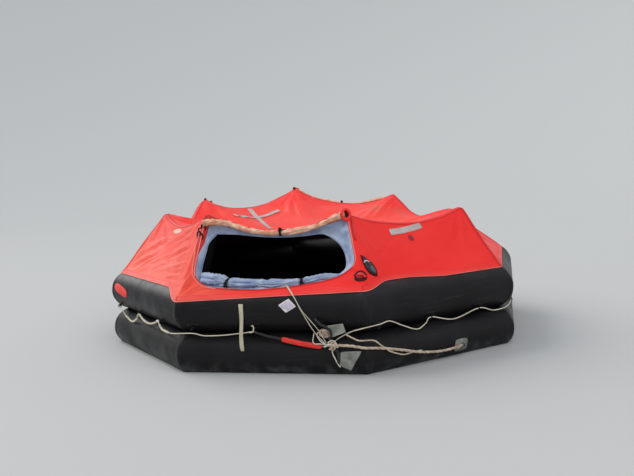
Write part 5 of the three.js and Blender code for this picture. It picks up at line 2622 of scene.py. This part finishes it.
            # Its pale pink is a painted highlight along the doorway's edge
            piping = tube_piece(f"doorway_piping_{self.name}_{number + 1}", lines[-1], 0.004, 8)
            settle(piping, CORD_PINK, Slot.CANOPY)
        columns, rows = 5, 25
        places = []
        for first, last in zip(lines[0][:rows], lines[1][:rows]):
            places += [laid(tree, first.lerp(last, i / (columns - 1)), 0.0012) for i in range(columns)]
        gusset = mesh_piece(f"doorway_gusset_{self.name}", places, grid_faces(columns, rows))
        outward_sheet(gusset, tree)
        settle(thickened(gusset, 0.0012), EDGE_RED, Slot.CANOPY)

    def build(self, tree: BVHTree) -> None:
        """Makes everything at this entrance.

        Args:
            tree: The canopy's outer face.
        """
        self.lining()
        self.outer_flap()
        self.inner_flap()
        self.side_tie(tree)
        self.pipings(tree)


# Rigging and gear on the tubes

# The lifeline's runs along three sides, as distance along and height
LIFELINE_RUNS = {
    0: (
        (-0.579, 0.335), (-0.49, 0.318), (-0.35, 0.322), (-0.2, 0.338), (-0.115, 0.347), (-0.03, 0.32),
        (0.07, 0.301), (0.22, 0.272), (0.38, 0.245), (0.44, 0.27), (0.5, 0.31), (0.58, 0.35), (0.65, 0.37),
    ),
    7: (
        (-0.579, 0.368), (-0.42, 0.3), (-0.286, 0.276), (-0.17, 0.315), (-0.115, 0.362), (-0.02, 0.33),
        (0.1, 0.318), (0.24, 0.345), (0.3, 0.368), (0.37, 0.318), (0.5, 0.31), (0.62, 0.322),
    ),
    1: (
        (-0.579, 0.385), (-0.49, 0.395), (-0.38, 0.347), (-0.25, 0.3), (-0.17, 0.33), (-0.115, 0.368),
        (0.1, 0.322), (0.349, 0.368), (0.5, 0.33), (0.64, 0.34),
    ),
}
# The cords on the front, as name, radius, finish and places: distance along, distance out and height
FRONT_CORDS = (
    ("sill_line_1", 0.0028, ROPE_CREAM, (
        (0.085, 1.54, 0.676), (0.137, 1.612, 0.652), (0.199, 1.672, 0.575), (0.24, 1.689, 0.499),
        (0.322, 1.69, 0.359), (0.4, 1.695, 0.272),
    )),
    ("sill_line_2", 0.0028, ROPE_CREAM, (
        (0.08, 1.545, 0.675), (0.132, 1.616, 0.65), (0.197, 1.676, 0.578), (0.246, 1.692, 0.5),
        (0.3, 1.692, 0.435), (0.36, 1.692, 0.36), (0.408, 1.696, 0.276),
    )),
    ("grab_cord", 0.0085, ROPE_DARK, (
        (-0.115, 1.664, 0.347), (-0.03, 1.664, 0.32), (0.07, 1.668, 0.301), (0.12, 1.674, 0.292),
    )),
    ("loop_cord", 0.0045, ROPE_CREAM, (
        (-0.15, 1.676, 0.345), (-0.122, 1.684, 0.352), (-0.112, 1.686, 0.376), (-0.12, 1.682, 0.396),
        (-0.13, 1.676, 0.39),
    )),
    ("dark_loop", 0.0095, ROPE_DARK, (
        (0.335, 1.686, 0.445), (0.35, 1.698, 0.43), (0.38, 1.704, 0.405), (0.412, 1.706, 0.392),
        (0.44, 1.706, 0.365), (0.447, 1.706, 0.33), (0.43, 1.7, 0.3),
    )),
    ("dark_tail", 0.011, ROPE_DARK, (
        (0.45, 1.69, 0.245), (0.482, 1.694, 0.215), (0.49, 1.692, 0.17), (0.482, 1.688, 0.135),
        (0.468, 1.686, 0.15),
    )),
    ("pale_tail", 0.0042, ROPE_CREAM, (
        (0.445, 1.7, 0.24), (0.452, 1.7, 0.2), (0.463, 1.7, 0.175), (0.48, 1.694, 0.135),
        (0.497, 1.69, 0.108),
    )),
    ("left_tail", 0.0034, ROPE_CREAM, (
        (0.4, 1.7, 0.268), (0.36, 1.698, 0.272), (0.325, 1.694, 0.27), (0.312, 1.692, 0.29),
        (0.318, 1.692, 0.32), (0.322, 1.69, 0.345),
    )),
    ("left_strand", 0.0034, ROPE_CREAM, (
        (0.42, 1.7, 0.258), (0.37, 1.7, 0.29), (0.345, 1.698, 0.33), (0.35, 1.694, 0.352),
    )),
    ("right_strand", 0.0045, ROPE_CREAM, (
        (0.42, 1.704, 0.28), (0.445, 1.706, 0.298), (0.468, 1.704, 0.29), (0.485, 1.7, 0.265),
        (0.5, 1.698, 0.258),
    )),
    ("knot_wrap_1", 0.0085, ROPE_TAN, (
        (0.43, 1.698, 0.235), (0.445, 1.71, 0.245), (0.452, 1.712, 0.268), (0.446, 1.704, 0.288),
    )),
    ("knot_wrap_2", 0.0085, ROPE_TAN, (
        (0.455, 1.698, 0.232), (0.468, 1.71, 0.244), (0.474, 1.711, 0.266), (0.466, 1.702, 0.285),
    )),
    ("knot_wrap_3", 0.0065, ROPE_CREAM, (
        (0.395, 1.7, 0.25), (0.42, 1.709, 0.268), (0.44, 1.712, 0.272), (0.47, 1.71, 0.262),
        (0.49, 1.7, 0.25),
    )),
)
# The two ropes that lead round the front's right corner, as places on side 0 and then on side 1
BRIDLE_RUN = (
    ((0.42, 1.702, 0.262), (0.5, 1.702, 0.262), (0.58, 1.7, 0.259), (0.68, 1.696, 0.244)),
    (
        (-0.6, 1.694, 0.226), (-0.43, 1.694, 0.186), (-0.253, 1.694, 0.14), (-0.05, 1.69, 0.112),
        (0.12, 1.69, 0.118),
    ),
)
SLACK_RUN = (
    ((0.55, 1.694, 0.335), (0.6, 1.696, 0.31), (0.643, 1.696, 0.295)),
    (
        (-0.66, 1.695, 0.29), (-0.603, 1.697, 0.25), (-0.56, 1.7, 0.218), (-0.52, 1.7, 0.19),
        (-0.411, 1.698, 0.15), (-0.321, 1.696, 0.152), (-0.24, 1.692, 0.15),
    ),
)


@dataclass
class Rigging:
    """The lifeline, the boarding straps and the gear on the front of the tubes.

    Attributes:
        tubes: The tubes' outer faces.
        apothem: How far out the lifeline runs.
        hold_z: The height of the places that hold it.
        sag: How far it hangs between them.
        first_hold: Where the first of a side's holds is along it.
        pitch: How far apart they are.
        holds: How many a side has.
    """

    tubes: BVHTree
    apothem: float = 1.662
    hold_z: float = 0.368
    sag: float = 0.04
    first_hold: float = -0.579
    pitch: float = 0.464
    holds: int = 3

    def hold_places(self) -> list[tuple[int, float]]:
        """Returns each hold's side and its distance along."""
        along = [self.first_hold + hold * self.pitch for hold in range(self.holds)]
        return [(side, place) for side in range(SIDES) for place in along]

    def line_points(self, side: int) -> list[Vector]:
        """Returns the lifeline's run along one side.

        Args:
            side: The side.

        Returns:
            The places that it passes.
        """
        run = list(LIFELINE_RUNS.get(side, ()))
        if not run:
            chance = random.Random(side)
            for hold in range(self.holds):
                along = self.first_hold + hold * self.pitch
                run.append((along, self.hold_z))
                low = self.hold_z - self.sag * chance.uniform(0.8, 1.25)
                after = along + self.pitch * chance.uniform(0.44, 0.56)
                run.append((min(after, self.apothem * CORNER_TAN - 0.02), low))
        return [on_side(side, along, self.apothem, z) for along, z in run]

    def lifeline(self) -> None:
        """Makes the rope round the raft, its worn stretch and the patches that hold it."""
        points = [place for side in range(SIDES) for place in self.line_points(side)]
        line = spline_through(points, 8, closed=True)
        rope_along("lifeline_rope", line, ROPE_CREAM, 0.0042, 0.006, 95.0, "lifeline", closed=True)
        spots = [(outward(side + SIDES / 4) * along, side * STEP) for side, along in self.hold_places()]
        settle(copies("lifeline_patches", self.pad_form(), spots, TUBE_BLACK), TUBE_BLACK, Slot.TUBE)
        worn = spline_through(self.line_points(SIDES - 1)[1:11], 8)
        rope_along("frayed_rope", worn, ROPE_CREAM, 0.0085, 0.006, 52.0)

    def pad_form(self) -> Piece:
        """Makes one rubber patch with its loop, in place on the front side.

        Returns:
            The patch as one piece.
        """
        columns, rows = 9, 9
        places = []
        for u, v in grid_shares(columns, rows):
            x, y = u * 2 - 1, v * 2 - 1
            angle = -0.72 + y * 0.2
            radius = TUBE_RADIUS + 0.0045 - 0.0035 * max(abs(x), abs(y)) ** 6
            along = x * 0.042 * (1 - 0.12 * y * y)
            z = UPPER_TUBE_Z + radius * math.sin(angle)
            places.append(on_side(0, along, RING_APOTHEM + radius * math.cos(angle), z))
        patch = mesh_piece("pad_form_patch", places, grid_faces(columns, rows))
        with_modifier(patch, "SOLIDIFY", thickness=0.004, offset=-1.0)
        middle = Vector((0, -self.apothem, self.hold_z))
        loop = [middle + Vector((0.016 * math.cos(a), 0.006, 0.0))
                + Vector((0, -0.013 * math.sin(a) + 0.002, 0.011 * math.sin(2 * a)))
                for a in np.linspace(0, math.pi, 9)]
        ring = [middle + Vector((0.0, 0.004 + 0.012 * math.cos(a), 0.012 * math.sin(a)))
                for a in angles_round(12)]
        ring_part = tube_piece("pad_form_ring", ring, 0.0042, 6, closed=True)
        return joined("pad_form", [patch, ring_part, tube_piece("pad_form_loop", loop, 0.004, 6)])

    def strap(self, side: int, name: str) -> None:
        """Makes one boarding strap, a slack upright webbing held at its two ends.

        Args:
            side: Its side.
            name: The ending of its name.
        """
        columns, rows = 5, 40
        width, length = 0.034, 0.335
        places = []
        for across, share in grid_shares(columns, rows):
            z = 0.548 - length * share
            wide = width - 0.008 * math.sin(math.pi * share) - 0.012 * smooth_step((share - 0.93) / 0.07)
            middle = -0.205 + 0.007 * math.sin(share * 5.2 + 0.4) + 0.006 * share
            off = 0.004 + 0.006 * math.sin(math.pi * share)
            curl = 0.003 * math.cos(share * 14) * (across - 0.5)
            x = middle + wide * (across - 0.5)
            places.append(on_side(side, x, self.reach_at(z) + off + curl, z))
        faces = turned_over(grid_faces(columns, rows))
        piece = mesh_piece(f"boarding_strap_{name}_webbing", places, faces)
        set_uv(piece, columns, rows, width, length)
        settle(thickened(piece, 0.0022), WEBBING_CREAM, Slot.WEBBING, f"boarding_strap_{name}")

    @staticmethod
    def reach_at(z: float) -> float:
        """Returns how far out a taut strap lies: on the tubes, and straight between them.

        Args:
            z: The height.

        Returns:
            The distance from the raft's middle.
        """
        past = max(z - UPPER_TUBE_Z, LOWER_TUBE_Z - z)
        if past < 0:
            return OUTSIDE
        return RING_APOTHEM + math.sqrt(max(TUBE_RADIUS ** 2 - past ** 2, 0.0))

    def plate(self, name: str, corners: Sequence[Flat], off: float, finish: Finish, slot: Slot, node: str,
              bend: float = 1.0, thickness: float = 0.003) -> list[Vector]:
        """Makes a flat pad on the front of the tubes.

        Args:
            name: The piece's name.
            corners: Its bottom left, bottom right, top right and top left corners, as distance along the
                front side and height.
            off: How far it stands off the tubes.
            finish: Its finish.
            slot: Its slot.
            node: The node of the model that it replaces, or nothing.
            bend: How far it follows the tubes, from 0 to 1.
            thickness: Its thickness.

        Returns:
            A line just inside its edge, for stitches.
        """
        columns, rows = 21, 19
        a, b, c, d = (Vector((x, z, 0.0)) for x, z in corners)

        def place(u: float, v: float, lift: float) -> Vector:
            """Returns a place on the pad.

            Args:
                u: The share along its width.
                v: The share along its height.
                lift: How far it is off the pad's middle face.

            Returns:
                The place.
            """
            near = max(abs(2 * u - 1), abs(2 * v - 1))
            flat = a.lerp(b, u).lerp(d.lerp(c, u), v)
            rough = 0.0016 * noise.noise(Vector((flat.x * 45, flat.y * 45, off * 900))) * near
            along, z = flat.x + rough, flat.y + rough
            reach = OUTSIDE + (self.reach_at(z) - OUTSIDE) * bend
            curl = 0.003 * noise.noise(Vector((flat.x * 22, flat.y * 22, off * 500)))
            return on_side(0, along, reach + off + lift + curl, z)

        places = []
        for u, v in grid_shares(columns, rows):
            trim = 0.03 * abs((2 * u - 1) * (2 * v - 1)) ** 4
            places.append(place(u + (0.5 - u) * trim, v + (0.5 - v) * trim, 0.0))
        piece = mesh_piece(name, places, grid_faces(columns, rows))
        set_uv(piece, columns, rows, (b - a).length, (d - a).length)
        settle(thickened(piece, thickness), finish, slot, *([node] if node else []))
        low, high = 0.07, 0.93
        steps = np.linspace(low, high, 14)[:-1]
        rim = [(t, low) for t in steps] + [(high, t) for t in steps]
        rim += [(1 - t, high) for t in steps] + [(low, 1 - t) for t in steps]
        return [place(u, v, thickness / 2 + 0.0006) for u, v in rim]

    def front_gear(self) -> None:
        """Makes the tag, the towing pads and the red grab strip."""
        tag = ((0.128, 0.487), (0.201, 0.53), (0.146, 0.583), (0.072, 0.54))
        self.plate("tag_plate", tag, 0.003, TAG_WHITE, Slot.TAG, "blank_tag", 0.8, 0.0014)
        middle = Vector((sum(x for x, _ in tag) / 4, sum(z for _, z in tag) / 4))
        face = [tuple(middle + (Vector(corner) - middle) * 0.86) for corner in tag]
        self.plate("tag_face", face, 0.0045, TAG_LILAC, Slot.TAG, "", 0.8, 0.0008)
        upper = ((0.443, 0.311), (0.545, 0.351), (0.526, 0.412), (0.412, 0.394))
        lower = ((0.492, 0.115), (0.566, 0.074), (0.652, 0.221), (0.502, 0.213))
        rows = [
            self.plate("tow_pad_upper_patch", upper, 0.001, PATCH_GREY, Slot.GREY, "tow_pad_upper",
                       bend=0.0, thickness=0.005),
            self.plate("tow_pad_lower_patch", lower, 0.0025, PATCH_GREY, Slot.GREY, "tow_pad_lower",
                       thickness=0.005),
        ]
        sew("pad_stitches", rows, WEBBING_CREAM, Slot.GREY, closed=True, pitch=0.007, stitch=0.0045)
        grip = []
        for t in np.linspace(0, 1, 40):
            z = 0.299 - 0.052 * t - 0.004 * math.sin(math.pi * t)
            grip.append(on_side(0, 0.086 + 0.284 * t, OUTSIDE - 0.004 + 0.005 * math.sin(3 * t), z))
        strip = tube_piece("grab_strip_cover", grip, 0.0185, 18, swell=self.sleeve)
        set_flat_uv(strip)
        settle(strip, GRAB_RED, Slot.CANOPY, "red_grab_strip")

    @staticmethod
    def sleeve(share: float, angle: float) -> float:
        """Returns how full the grab strip is.

        Args:
            share: The place along it, from 0 to 1.
            angle: The angle round it.

        Returns:
            The factor of its radius, less at its two ends, which are pressed flat.
        """
        end = smooth_step(min(share, 1 - share) / 0.06)
        crease = 0.05 * noise.noise(Vector((share * 18, math.cos(angle), math.sin(angle))))
        return (0.62 + 0.38 * abs(math.sin(angle)) ** 0.7) * (0.72 + 0.28 * end) + crease

    def cords(self) -> None:
        """Makes the lines on the front: those from the sill, the knot and the ropes to the right."""
        for name, radius, finish, points in FRONT_CORDS:
            line = spline_through([on_side(0, *place) for place in points], 8)
            rope_along(name, line, finish, radius, 0.005, 0.45 / radius)
        coil = []
        for t in np.linspace(0, 10 * math.pi, 170):
            wide = 0.021 + 0.0035 * math.sin(2.3 * t)
            middle = Vector((0.396 + 0.0012 * (t - 15), -1.682 - 0.006 * math.sin(t * 0.37), 0.342))
            x, y, z = wide * math.cos(t + 0.35), -0.012 * math.sin(t), (wide + 0.006) * math.sin(t)
            coil.append(middle + Vector((x, y, z)))
        rope_along("line_coil", coil, ROPE_TAN, 0.0058, 0.005, 75.0)
        bridle = [on_side(side, *place) for side, run in enumerate(BRIDLE_RUN) for place in run]
        rope_along("bridle_rope", spline_through(bridle, 12), ROPE_TAN, 0.0098, 0.006, 50.0)
        slack = [on_side(side, *place) for side, run in enumerate(SLACK_RUN) for place in run]
        rope_along("slack_rope", spline_through(slack, 10), ROPE_TAN, 0.0055, 0.006, 80.0)

    def bridle_end(self) -> None:
        """Makes the patch and the ring that hold the rope's end, and the turns of rope round the ring."""
        anchor = on_side(1, 0.15, 1.688, 0.118)
        patch = laid_disc("bridle_patch", self.tubes, anchor, SoftBox(0.06, 0.05), 0.0016, thickness=0.004)
        settle(patch, PATCH_GREY, Slot.GREY)
        out, along = outward(1), outward(3)
        ring = [anchor + along * 0.02 * math.cos(a) + Vector((0, 0, 0.02 * math.sin(a))) + out * 0.006
                for a in angles_round(24)]
        settle(tube_piece("bridle_ring", ring, 0.0045, 8, closed=True), CYLINDER_GREY, Slot.STEEL)
        hitch = []
        for t in np.linspace(0, 7 * math.pi, 90):
            place = anchor + out * (0.008 + 0.009 * math.sin(t))
            place += along * (-0.022 + 0.011 * math.cos(t) - 0.0012 * t)
            hitch.append(place + Vector((0, 0, 0.012 * math.sin(t + 0.8))))
        rope_along("bridle_hitch", hitch, ROPE_TAN, 0.006, 0.005, 75.0)

    def corner_patches(self) -> None:
        """Makes the red patches on the upper tube near two corners."""
        for i, side in enumerate((7, 3)):
            centre = on_side(side, -0.475, OUTSIDE, 0.515)
            patch = laid_disc(f"corner_patch_{i + 1}", self.tubes, centre, SoftBox(0.15, 0.038, 3.0), 0.0016,
                              turn=-0.16, thickness=0.003)
            settle(patch, GRAB_RED, Slot.CANOPY)

    def build(self) -> None:
        """Makes all of the rigging."""
        self.lifeline()
        self.strap(0, "front")
        self.strap(SIDES // 2, "rear")
        self.front_gear()
        self.cords()
        self.bridle_end()
        self.corner_patches()


@dataclass
class Underside:
    """The floor and what hangs under it.

    Attributes:
        edge_z: The height of the floor's lower face at the tubes' middle line.
        centre_z: Its height in the middle.
        thickness: The floor's thickness.
        reach: The distance from the raft's middle to the tubes' middle line.
    """

    edge_z: float = 0.06
    centre_z: float = 0.235
    thickness: float = 0.03
    reach: float = RING_APOTHEM

    def height(self, x: float, y: float) -> float:
        """Returns the floor's lower face at a place."""
        share = self.ring_share(x, y)
        return self.centre_z + (self.edge_z - self.centre_z) * share * share

    def ring_share(self, x: float, y: float) -> float:
        """Returns how far out a place is, from 0 in the middle to 1 at the tubes' middle line."""
        return max(outward(k).x * x + outward(k).y * y for k in range(SIDES)) / self.reach

    def floor(self) -> None:
        """Makes the quilted floor panel."""
        rings, around = 44, SIDES * 24
        places = []
        for top in (True, False):
            for r in range(1, rings + 1):
                for k in range(around):
                    angle = 2 * math.pi * k / around + STEP / 2
                    side = round((angle + math.pi / 2) / STEP)
                    out = Vector((math.cos(angle), math.sin(angle), 0.0))
                    reach = 1.352 * r / rings / max(out.dot(outward(side)), 0.5)
                    x, y = out.x * reach, out.y * reach
                    quilt = 0.006 * abs(math.sin(x * 16) * math.sin(y * 16)) ** 0.5 - 0.006
                    z = self.height(x, y) + (self.thickness + quilt if top else -quilt * 0.5)
                    places.append(Vector((x, y, z)))
        layer = rings * around
        tops = [Vector((0, 0, self.centre_z + self.thickness - 0.003)), Vector((0, 0, self.centre_z + 0.001))]
        faces = turned_over(grid_faces(around, rings, closed=True))
        faces += [tuple(number + layer for number in face) for face in turned_over(faces)]
        rim = (rings - 1) * around
        for k in range(around):
            after = (k + 1) % around
            faces.append((rim + k, layer + rim + k, layer + rim + after, rim + after))
            faces.append((2 * layer, k, after))
            faces.append((2 * layer + 1, layer + after, layer + k))
        piece = mesh_piece("floor_panel", places + tops, faces)
        outward_normals(piece)
        settle(piece, FLOOR_BLACK, Slot.FLOOR, "floor")

    def pocket(self, number: int) -> None:
        """Makes one empty water pocket, folded flat against the floor.

        Args:
            number: Which one it is, from 0.
        """
        turn = 2 * number + 1
        columns, rows = 25, 17
        width, length = 0.5, 0.28
        places = []
        for u, v in grid_shares(columns, rows):
            x, y = (u - 0.5) * width, (v - 0.5) * length
            place = outward(turn) * (1.0 + y) + outward(turn + 2) * x
            edge = max(abs(x) / (width / 2), abs(y) / (length / 2))
            sag = 0.034 * (1 - edge ** 4) + 0.004 * noise.noise(Vector((x * 14, y * 14, number)))
            place.z = self.height(place.x, place.y) - 0.002 - max(sag, 0.0)
            places.append(place)
        piece = mesh_piece(f"water_pocket_{number + 1}_bag", places, grid_faces(columns, rows))
        outward_normals(thickened(piece, 0.0015))
        settle(piece, FLOOR_BLACK, Slot.FLOOR, f"water_pocket_{number + 1}")

    def righting_strap(self) -> None:
        """Makes the webbing across the underside."""
        columns, rows = 5, 60
        width, length = 0.05, 2.87
        places = []
        for u, v in grid_shares(columns, rows):
            x = (v - 0.5) * length
            places.append(Vector((x, -0.12 + width * (u - 0.5), 0.012 + 0.0015 * math.sin(x * 9))))
        piece = mesh_piece("righting_strap_webbing", places, grid_faces(columns, rows))
        set_uv(piece, columns, rows, width, length)
        outward_normals(thickened(piece, 0.0025))
        settle(piece, WEBBING_CREAM, Slot.WEBBING, "righting_strap")

    def build(self) -> None:
        """Makes the floor and everything under it."""
        self.floor()
        for number in range(4):
            self.pocket(number)
        self.righting_strap()
        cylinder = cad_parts["gas_cylinder"]
        cylinder.data.materials.clear()
        cylinder.data.materials.append(CYLINDER_GREY.material())


# Camera, light and floor

@dataclass(frozen=True)
class Studio:
    """The camera at the photograph's place, the pale floor at the waterline and the soft lights.

    Attributes:
        eye: The camera's place.
        ahead: The way it looks.
        upright: The way that is up in its picture.
        lens: Its focal length in millimetres.
        flat_reach: How far out the floor is flat.
        curve: The radius of its curve beyond that.
    """

    eye: Triple = (1.6024, -7.0745, 1.5775)
    ahead: Triple = (-0.22093, 0.96983, -0.10302)
    upright: Triple = (0.02303, 0.11079, 0.99358)
    lens: float = 46.32
    flat_reach: float = 12.0
    curve: float = 22.0

    def camera(self) -> None:
        """Makes the camera and makes it the scene's own."""
        data = bpy.data.cameras.new("camera")
        data.lens = self.lens
        data.sensor_width = 36.0
        data.clip_end = 200.0
        camera = linked("camera", data)
        back = -Vector(self.ahead).normalized()
        right = Vector(self.upright).cross(back).normalized()
        up = back.cross(right)
        turn = Matrix((right, up, back)).transposed().to_4x4()
        camera.matrix_world = Matrix.Translation(self.eye) @ turn
        bpy.context.scene.camera = camera

    def light(self, name: str, way: Sequence[float], spread: float, power: float, colour: Colour) -> None:
        """Adds one broad soft light that comes from far away.

        Args:
            name: Its name.
            way: The direction that it comes from.
            spread: How wide its source is, in degrees.
            power: Its strength.
            colour: Its colour.
        """
        data = bpy.data.lights.new(name, "SUN")
        data.angle = math.radians(spread)
        data.energy = power
        data.color = colour
        lamp = linked(name, data)
        place = Vector(way)
        lamp.matrix_world = Matrix.Translation(place) @ (-place).to_track_quat("-Z", "Y").to_matrix().to_4x4()

    def floor(self) -> None:
        """Makes the plain pale floor, which curves up far away into a backdrop without an edge."""
        around = 96
        reaches = [(3.0, 0.0), (8.0, 0.0), (self.flat_reach, 0.0)]
        for k in range(1, 25):
            angle = math.radians(62) * k / 24
            out, rise = self.curve * math.sin(angle), self.curve * (1 - math.cos(angle))
            reaches.append((self.flat_reach + out, rise))
        places = []
        for reach, rise in reaches:
            for k in range(around):
                angle = 2 * math.pi * k / around
                places.append(Vector((reach * math.cos(angle), reach * math.sin(angle), WATERLINE + rise)))
        middle = len(places)
        places.append(Vector((0, 0, WATERLINE)))
        faces = turned_over(grid_faces(around, len(reaches), closed=True))
        faces += [(middle, k, (k + 1) % around) for k in range(around)]
        floor = mesh_piece("studio_floor", places, faces)
        plain = bpy.data.materials.new("studio_floor")
        plain.use_nodes = True
        bench = NodeBench(plain.node_tree)
        sockets = {"Base Color": (0.5, 0.51, 0.51, 1), "Roughness": 0.75}
        shader = bench.add("ShaderNodeBsdfPrincipled", sockets)
        bench.add("ShaderNodeOutputMaterial", {"Surface": shader.outputs[0]})
        floor.data.materials.append(plain)

    def world(self) -> None:
        """Makes the even pale surround."""
        world = bpy.data.worlds.new("studio")
        world.use_nodes = True
        bench = NodeBench(world.node_tree)
        back = bench.add("ShaderNodeBackground", {"Color": (0.9, 0.93, 0.97, 1), "Strength": 0.6})
        bench.add("ShaderNodeOutputWorld", {"Surface": back.outputs[0]})
        bpy.context.scene.world = world
        bpy.context.scene.view_settings.view_transform = "Standard"

    def build(self) -> None:
        """Sets up the whole studio."""
        self.camera()
        self.floor()
        self.world()
        self.light("sky_left", (-6.2, 1.8, 4.6), 60.0, 2.1, (1.0, 0.99, 0.97))
        self.light("front", (4.0, -6.0, 6.0), 60.0, 1.08, (1.0, 1.0, 1.0))


def main() -> None:
    """Builds the raft piece by piece."""
    logging.basicConfig(level=logging.INFO, format="%(message)s")
    Studio().build()
    tubes = BuoyancyTubes()
    lower = settle(tubes.build("lower_tube_skin", LOWER_TUBE_Z), TUBE_BLACK, Slot.TUBE, "lower_tube")
    upper = settle(tubes.build("upper_tube_skin", UPPER_TUBE_Z), TUBE_BLACK, Slot.TUBE, "upper_tube")
    tube_surface = surface_tree(lower, upper)
    canopy = Canopy()
    surface = canopy.dress(canopy.build())
    CanopyTrim(surface).dress()
    struts = Struts()
    for corner in range(SIDES):
        settle(struts.build(corner), POST_SHADED_BLACK, Slot.TUBE, f"strut_{corner + 1}")
    for side, name in ((0, "front"), (SIDES // 2, "rear")):
        Doorway(side, name, seed=side + 3).build(surface)
    Rigging(tube_surface).build()
    Underside().build()


if __name__ == "__main__":
    main()
